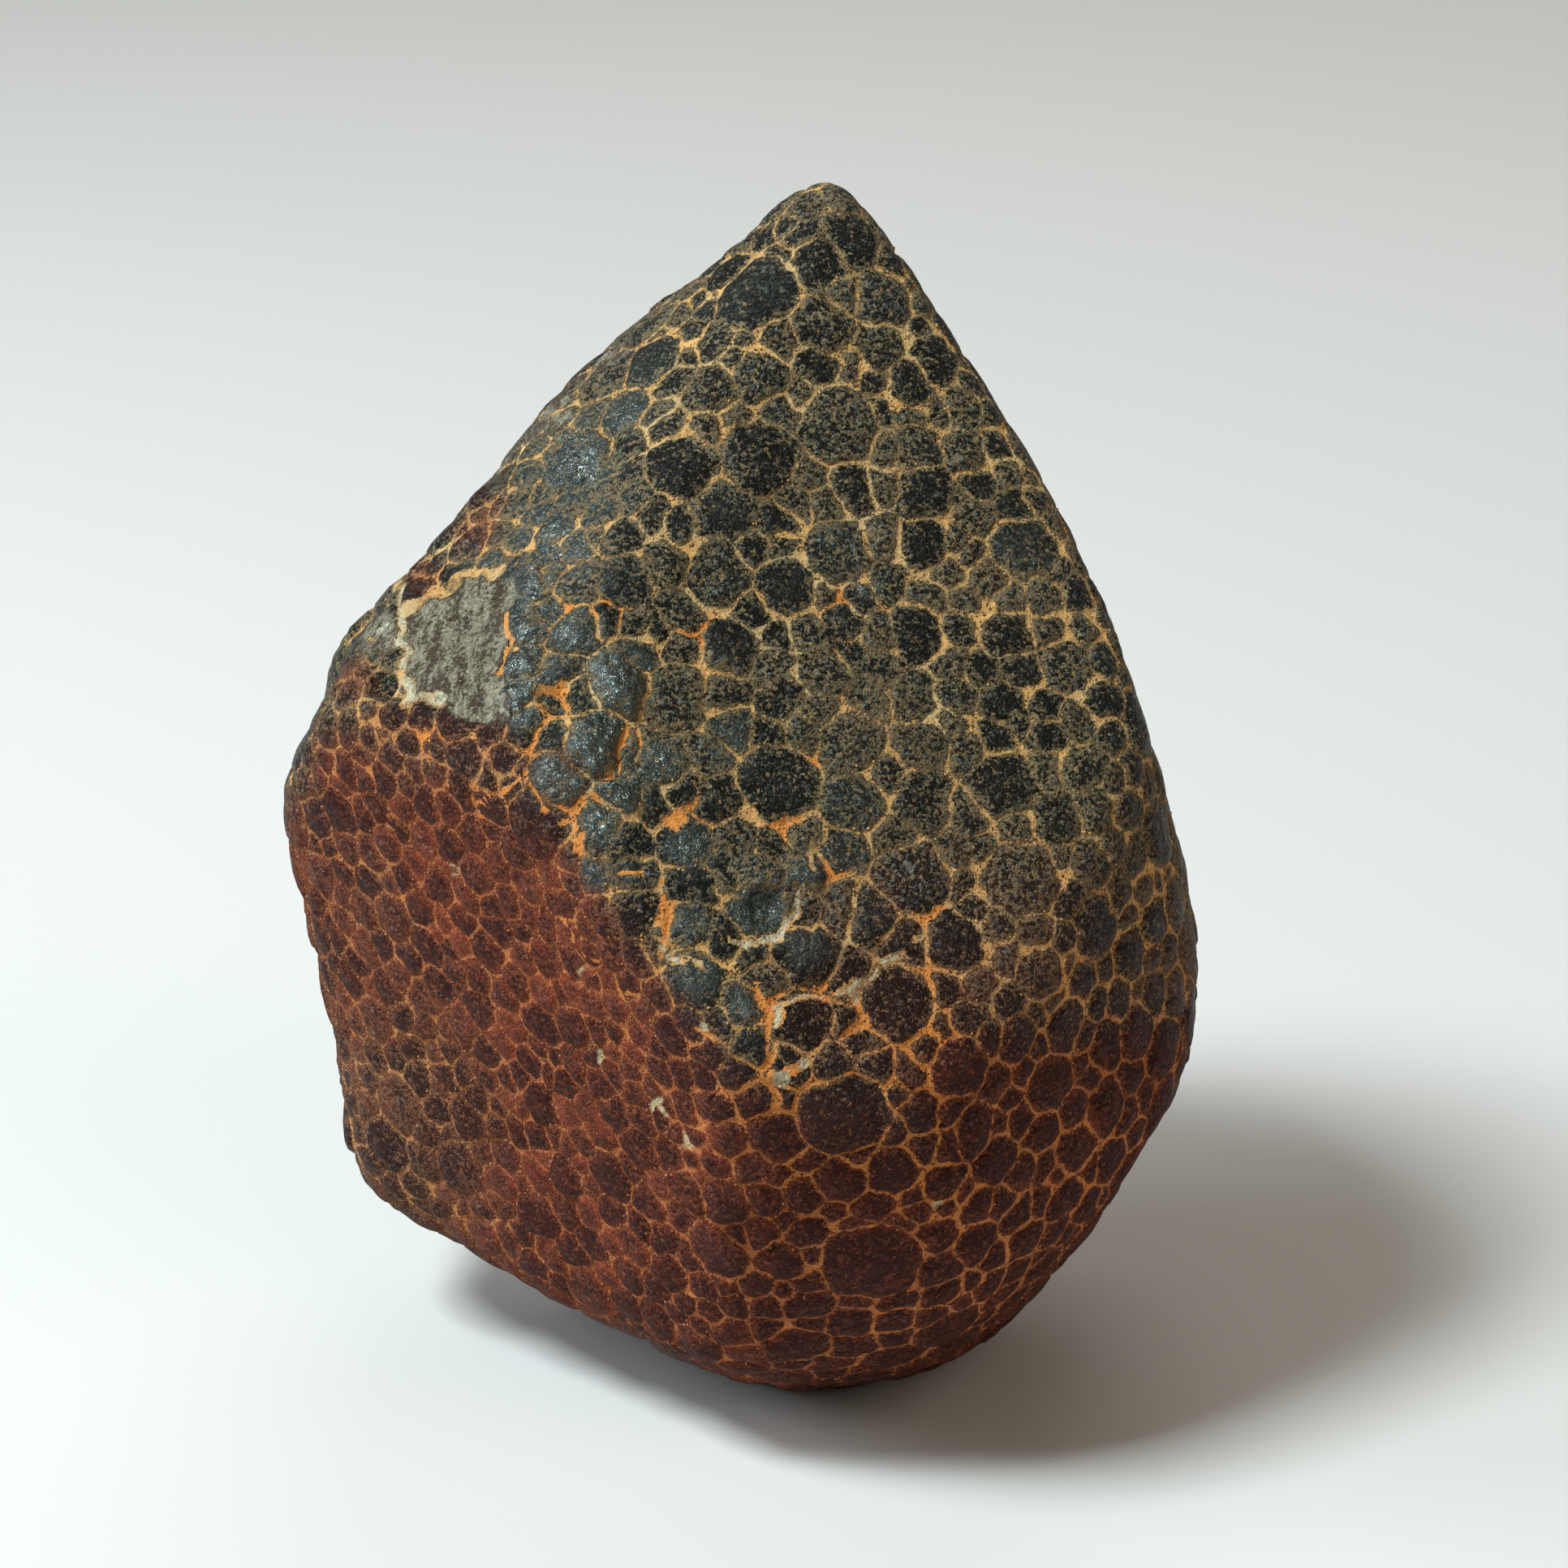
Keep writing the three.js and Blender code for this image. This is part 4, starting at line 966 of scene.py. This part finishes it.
def crustMaterial():
    look = crustLook
    material, tree, shader = newMaterial("crust")
    at = crustPatterns(tree)
    vein, speck = fillMask(tree, at), dustMask(tree, at)
    base = plateColour(tree, at, speck)

    fibre = tree.noise(tree.vector("MULTIPLY", {0: at.wander, 1: look["fibreStretch"]}),
                       look["fibreSize"], 3.0, 0.6)
    wornTint = tree.mixed(tree.between(0.9 * fibre + 0.2 * at.lump + 0.28 * (at.dice - 0.5),
                                       0.44, 0.66), look["wornBrown"], look["wornBuff"])
    wornMask = tree.between(at.worn + 0.5 * (at.lump - 0.5) - 0.3 * at.dice, 0.20, 0.60)
    base = tree.mixed(wornMask * look["wornCover"], base, wornTint)
    base = tree.mixed(vein * look["fillCover"], base, sandColour(tree, at))
    limeMask = tree.between(at.pale + 1.2 * (at.lump - 0.5) + 0.6 * (at.fine - 0.5), 0.40, 0.62)
    limeOver = limeMask * tree.between(at.gap - 0.12 * at.pale + 0.3 * (at.lump - 0.5)
                                       - 0.5 * at.seam, 0.0, 0.16, 0.85, 0.0)
    base = tree.mixed(limeOver, base, limeColour(tree, at))

    # where the crust is bare and melted it shines like dark glass
    filled = tree.larger(vein, limeOver)
    glassy = tree.between(at.gloss, 0.18, 0.75, 0.02, 0.85) * (1 - filled) * (1 - speck) \
        * (1 - at.warm) * (1 - wornMask)
    base = tree.mixed(glassy, base, look["glaze"])
    coat = tree.between(at.gloss, 0.25, 0.9, 0.03, 0.25) * (1 - filled) * (1 - speck) \
        * (1 - 0.8 * at.warm)
    rough = look["rough"] - look["smootherGloss"] * at.gloss + look["rougherDust"] * speck \
        + look["roughDice"] * (at.dice - 0.5) + look["rougherWorn"] * wornMask \
        + look["rougherWarm"] * at.warm
    rough = rough * (1 - filled) + look["roughFill"] * filled
    relief = (0.42 * at.blisters + (0.25 + 0.35 * at.dice) * at.grain * (1 - 0.75 * at.gloss)
              + 0.08 * at.fine + (0.20 + 0.55 * at.gloss) * at.lump
              + 1.1 * fibre * wornMask) * (1 - 0.55 * filled)
    bump = tree.node("ShaderNodeBump", {}, {
        "Strength": 1.0, "Distance": look["reliefDepth"], "Height": relief})
    linkTo(tree, shader, Base_Color=base, Roughness=rough, Metallic=glassy, Coat_Weight=coat,
           Coat_Roughness=look["coatRoughness"], Specular_IOR_Level=look["shine"],
           Normal=Reading(tree, bump.outputs[0]))
    return material


def gritMaterial():
    look = crustLook
    material, tree, shader = newMaterial("crackGrit")
    shade = tree.attribute("grainShade")
    warmth, glow, limy = (tree.attribute(name) for name in ("warm", "ember", "pale"))
    tint = tree.mixed(shade, look["ochreDeep"], look["ochre"])
    tint = tree.mixed(tree.between(glow, 0.25, 0.75), tint, look["orange"])
    # rusty grains on the warm faces, partly painted red bounce light
    tint = tree.mixed(warmth * 0.75, tint, look["rust"])
    tint = tree.mixed(tree.between(limy, 0.4, 0.7), tint, look["lime"])
    linkTo(tree, shader, Base_Color=tint, Roughness=0.9)
    return material


def newTree(name, inputs):
    # a geometry tree with named inputs, and the identifiers that a modifier sets them by
    group = bpy.data.node_groups.new(name, "GeometryNodeTree")
    group.interface.new_socket("Geometry", in_out="INPUT", socket_type="NodeSocketGeometry")
    group.interface.new_socket("Geometry", in_out="OUTPUT", socket_type="NodeSocketGeometry")
    keys = {}
    for label, (kind, value) in inputs.items():
        socket = group.interface.new_socket(label, in_out="INPUT", socket_type="NodeSocket" + kind)
        if kind != "Material":
            socket.default_value = value
        keys[label] = socket.identifier
    tree = Tree(group)
    enter = tree.node("NodeGroupInput")
    leave = tree.node("NodeGroupOutput")
    return tree, enter.outputs, leave, keys


def finishTree(tree, shape, given, leave):
    # both trees end alike: smooth, real geometry with the finish on it
    smooth = tree.geometry("GeometryNodeSetShadeSmooth", shape)
    real = tree.geometry("GeometryNodeRealizeInstances", smooth)
    done = tree.geometry("GeometryNodeSetMaterial", real, {"Material": given["Finish"]})
    tree.nodeTree.links.new(done, leave.inputs[0])


def runTree(piece, tree, keys, values):
    modifier = piece.modifiers.new(tree.nodeTree.name, "NODES")
    modifier.node_group = tree.nodeTree
    for label, value in values.items():
        modifier[keys[label]] = value
    bpy.context.view_layer.update()
    graph = bpy.context.evaluated_depsgraph_get()
    mesh = bpy.data.meshes.new_from_object(piece.evaluated_get(graph))
    piece.modifiers.clear()
    return mesh


def objectFrom(name, mesh):
    piece = bpy.data.objects.new(name, mesh)
    bpy.context.scene.collection.objects.link(piece)
    return piece


reliefSizes = {
    "Lump Size": 1.6 * mm, "Lump Height": 0.12 * mm,
    "Knob Size": 0.75 * mm, "Knob Height": 0.12 * mm,
    "Bead Size": 0.46 * mm, "Bead Height": 0.42 * mm,
}
reliefFade = (0.05, 0.5, 0.2)  # lumps grow between these gaps, from this share of their height
beadGloss = (0.3, 0.9)  # beads grow on plates between these amounts of gloss


def reliefTree():
    # lumps and knobs on the plates, which fade out towards the cracks
    tree, given, leave, keys = newTree("crustRelief", {
        **{label: ("Float", value) for label, value in reliefSizes.items()},
        "Finish": ("Material", None)})
    size = {label: Reading(tree, given[label]) for label in reliefSizes}
    place = tree.node("GeometryNodeInputPosition").outputs[0]
    plateau = tree.between(tree.named("crackGap"), *reliefFade, 1.0)
    lump = tree.noise(place, size["Lump Size"], 2.0, 0.5) - 0.5
    knob = tree.noise(place, size["Knob Size"], 2.0, 0.5) - 0.5
    bead = tree.noise(place, size["Bead Size"], 1.0, 0.5) - 0.5
    melted = tree.between(tree.named("gloss"), *beadGloss)
    raised = (lump * size["Lump Height"] + knob * size["Knob Height"]
              + bead * size["Bead Height"] * melted) * plateau
    normal = tree.node("GeometryNodeInputNormal").outputs[0]
    shift = tree.vector("SCALE", {0: normal, "Scale": raised})
    moved = tree.geometry("GeometryNodeSetPosition", given["Geometry"], {"Offset": shift})
    finishTree(tree, moved, given, leave)
    return tree, keys


gritSizes = {
    "Grains Per Area": 10.0 / mm ** 2, "Grain Smallest": 0.035 * mm, "Grain Largest": 0.09 * mm,
    "Lowest": 0.12 * mm,  # no grain lies nearer to the floor
}
gritSeeds = {"scatter": 7, "shade": 3, "girth": 11, "turn": 5, "squash": 9}
gritEdge = (-0.03, 0.05)  # grains thin out from the first to the second, past the fill's edge
gritFilled = 0.8  # share of the fill that counts
gritLift = 0.1 * mm  # they thin out over this height above the lowest
gritSquash = ((0.7, 0.7, 0.5), (1.3, 1.1, 0.9))  # least and most, in the grain's own three ways
fullTurn = 6.283


def gritTree():
    # sand grains lying in the cracks
    tree, given, leave, keys = newTree("crackGrit", {
        **{label: ("Float", value) for label, value in gritSizes.items()},
        "Seed": ("Int", gritSeeds["scatter"]), "Finish": ("Material", None)})
    size = {label: Reading(tree, given[label]) for label in gritSizes}
    pastFill = tree.named("crackGap") - tree.named("veinHalf") * gritFilled
    filled = tree.between(pastFill, *gritEdge, 1.0, 0.0)
    height = tree.value("ShaderNodeSeparateXYZ", {}, {
        0: tree.node("GeometryNodeInputPosition").outputs[0]}, output=2)
    filled = filled * tree.between(height - size["Lowest"], 0.0, gritLift)
    scatter = tree.node("GeometryNodeDistributePointsOnFaces", {"distribute_method": "RANDOM"}, {
        "Mesh": given["Geometry"], "Density": size["Grains Per Area"] * filled,
        "Seed": given["Seed"]})
    shaded = tree.node("GeometryNodeStoreNamedAttribute", {
        "data_type": "FLOAT", "domain": "POINT"}, {
        "Geometry": scatter.outputs["Points"], "Name": "grainShade",
        "Value": tree.random(gritSeeds["shade"])})
    grain = tree.node("GeometryNodeMeshIcoSphere", {}, {"Radius": 1.0, "Subdivisions": 1})
    girth = tree.random(gritSeeds["girth"], size["Grain Smallest"], size["Grain Largest"])
    turn = tree.random(gritSeeds["turn"], (0, 0, 0), (fullTurn, fullTurn, fullTurn))
    squash = tree.random(gritSeeds["squash"], *gritSquash)
    placed = tree.node("GeometryNodeInstanceOnPoints", {}, {
        "Points": shaded.outputs[0], "Instance": grain.outputs[0], "Rotation": turn,
        "Scale": tree.vector("SCALE", {0: squash, "Scale": girth})})
    finishTree(tree, placed.outputs[0], given, leave)
    return tree, keys


# the two pieces: the crust, and the grit that lies in its cracks
surface = skinPoints + skinNormals * height[:, None] + [0, 0, stoneForm["heart"]]
plain = bpy.data.meshes.new("stoneCrust")
plain.from_pydata((surface * mm).tolist(), [], faces)
for name, values in {
    "crackGap": crackGap, "veinHalf": veinHalf, "tone": tone, "gloss": gloss,
    "dust": dust, "warm": warm, "worn": worn, "ember": ember, "pale": pale,
    "seam": seam,
}.items():
    layer = plain.attributes.new(name, "FLOAT", "POINT")
    layer.data.foreach_set("value", values.astype(np.float32))
stone = objectFrom("stoneCrust", plain)
tree, keys = reliefTree()
stone.data = runTree(stone, tree, keys, {"Finish": crustMaterial()})
coords = np.empty(len(stone.data.vertices) * 3)
stone.data.vertices.foreach_get("co", coords)
inBox = np.clip(coords.reshape(-1, 3), np.array(cadBox[0]), np.array(cadBox[1]))
stone.data.vertices.foreach_set("co", inBox.ravel())  # nothing stands out past the solid's box
stone.data.update()
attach(stone, "root")
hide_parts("stone")
print("crust made:", len(stone.data.vertices), "points,", len(stone.data.polygons), "faces")

grit = objectFrom("crackGrit", stone.data.copy())
tree, keys = gritTree()
grit.data = runTree(grit, tree, keys, {"Finish": gritMaterial()})
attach(grit, "root")
print("crack grit made:", len(grit.data.polygons), "faces")

floorLook = {"reach": 3.0, "tint": (0.66, 0.65, 0.63), "roughness": 0.8}


def makeFloor():
    mesh = bpy.data.meshes.new("floor")
    reach = floorLook["reach"]
    mesh.from_pydata([(-reach, -reach, 0), (reach, -reach, 0), (reach, reach, 0),
                      (-reach, reach, 0)], [], [(0, 1, 2, 3)])
    floor = objectFrom("floor", mesh)
    material, tree, shader = newMaterial("floor")
    linkTo(tree, shader, Base_Color=(*floorLook["tint"], 1), Roughness=floorLook["roughness"])
    mesh.materials.append(material)


makeFloor()

studio = {
    "key": {"turn": -62, "tilt": 56, "away": 0.60, "side": 0.17, "watts": 4.8,
            "tint": (0.83, 0.94, 0.97)},
    "fill": {"turn": 50, "tilt": 38, "away": 0.8, "side": 0.5, "watts": 1.15,
             "tint": (1.0, 0.87, 0.70)},
    "back": {"turn": 168, "tilt": 42, "away": 0.8, "side": 0.5, "watts": 1.5,
             "tint": (1.0, 0.97, 0.93)},
    "rim": {"turn": -88, "tilt": 24, "away": 0.55, "side": 0.22, "watts": 1.45,
            "tint": (0.80, 0.90, 1.0)},
    "world": (0.97, 0.86, 0.73), "worldStrength": 0.11,
}


def makeLamps():
    middle = Vector((0, 0, stoneForm["heart"] * mm))
    for name in ("key", "fill", "back", "rim"):
        look = studio[name]
        lamp = bpy.data.lights.new(name, "AREA")
        lamp.size, lamp.energy, lamp.color = look["side"], look["watts"], look["tint"]
        light = objectFrom(name, lamp)
        away = Vector(direction(look["turn"], look["tilt"]))
        light.location = middle + away * look["away"]
        light.rotation_euler = away.to_track_quat("Z", "Y").to_euler()


def makeWorld():
    world = bpy.data.worlds.new("studio")
    bpy.context.scene.world = world
    world.use_nodes = True
    backdrop = world.node_tree.nodes["Background"]
    backdrop.inputs["Color"].default_value = (*studio["world"], 1)
    backdrop.inputs["Strength"].default_value = studio["worldStrength"]


makeLamps()
makeWorld()
bpy.context.scene.view_settings.view_transform = "Standard"
print("floor and lights made")

cameraView = {
    "lens": 100, "sensor": 36, "away": 220.0,  # mm
    "nearest": 0.01, "furthest": 20,  # m
    "heartAt": (930, 1020), "frame": 1932,  # where the heart of the stone falls in the frame
}


def makeCamera():
    view = bpy.data.cameras.new("camera")
    view.lens, view.sensor_width = cameraView["lens"], cameraView["sensor"]
    view.sensor_fit = "HORIZONTAL"
    view.clip_start, view.clip_end = cameraView["nearest"], cameraView["furthest"]
    camera = objectFrom("camera", view)
    focal = cameraView["lens"] / cameraView["sensor"] * cameraView["frame"]
    scale = cameraView["away"] / focal
    column, row = cameraView["heartAt"]
    half = cameraView["frame"] / 2
    place = (sightAway * cameraView["away"] - np.array([1, 0, 0]) * (column - half) * scale
             - sightUp * (half - row) * scale + [0, 0, stoneForm["heart"]])
    right, up, back = Vector((1, 0, 0)), Vector(sightUp), Vector(sightAway)
    turn = Matrix((right, up, back)).transposed().to_4x4()
    camera.matrix_world = Matrix.Translation(Vector(place * mm)) @ turn
    bpy.context.scene.camera = camera


makeCamera()
bpy.context.view_layer.update()
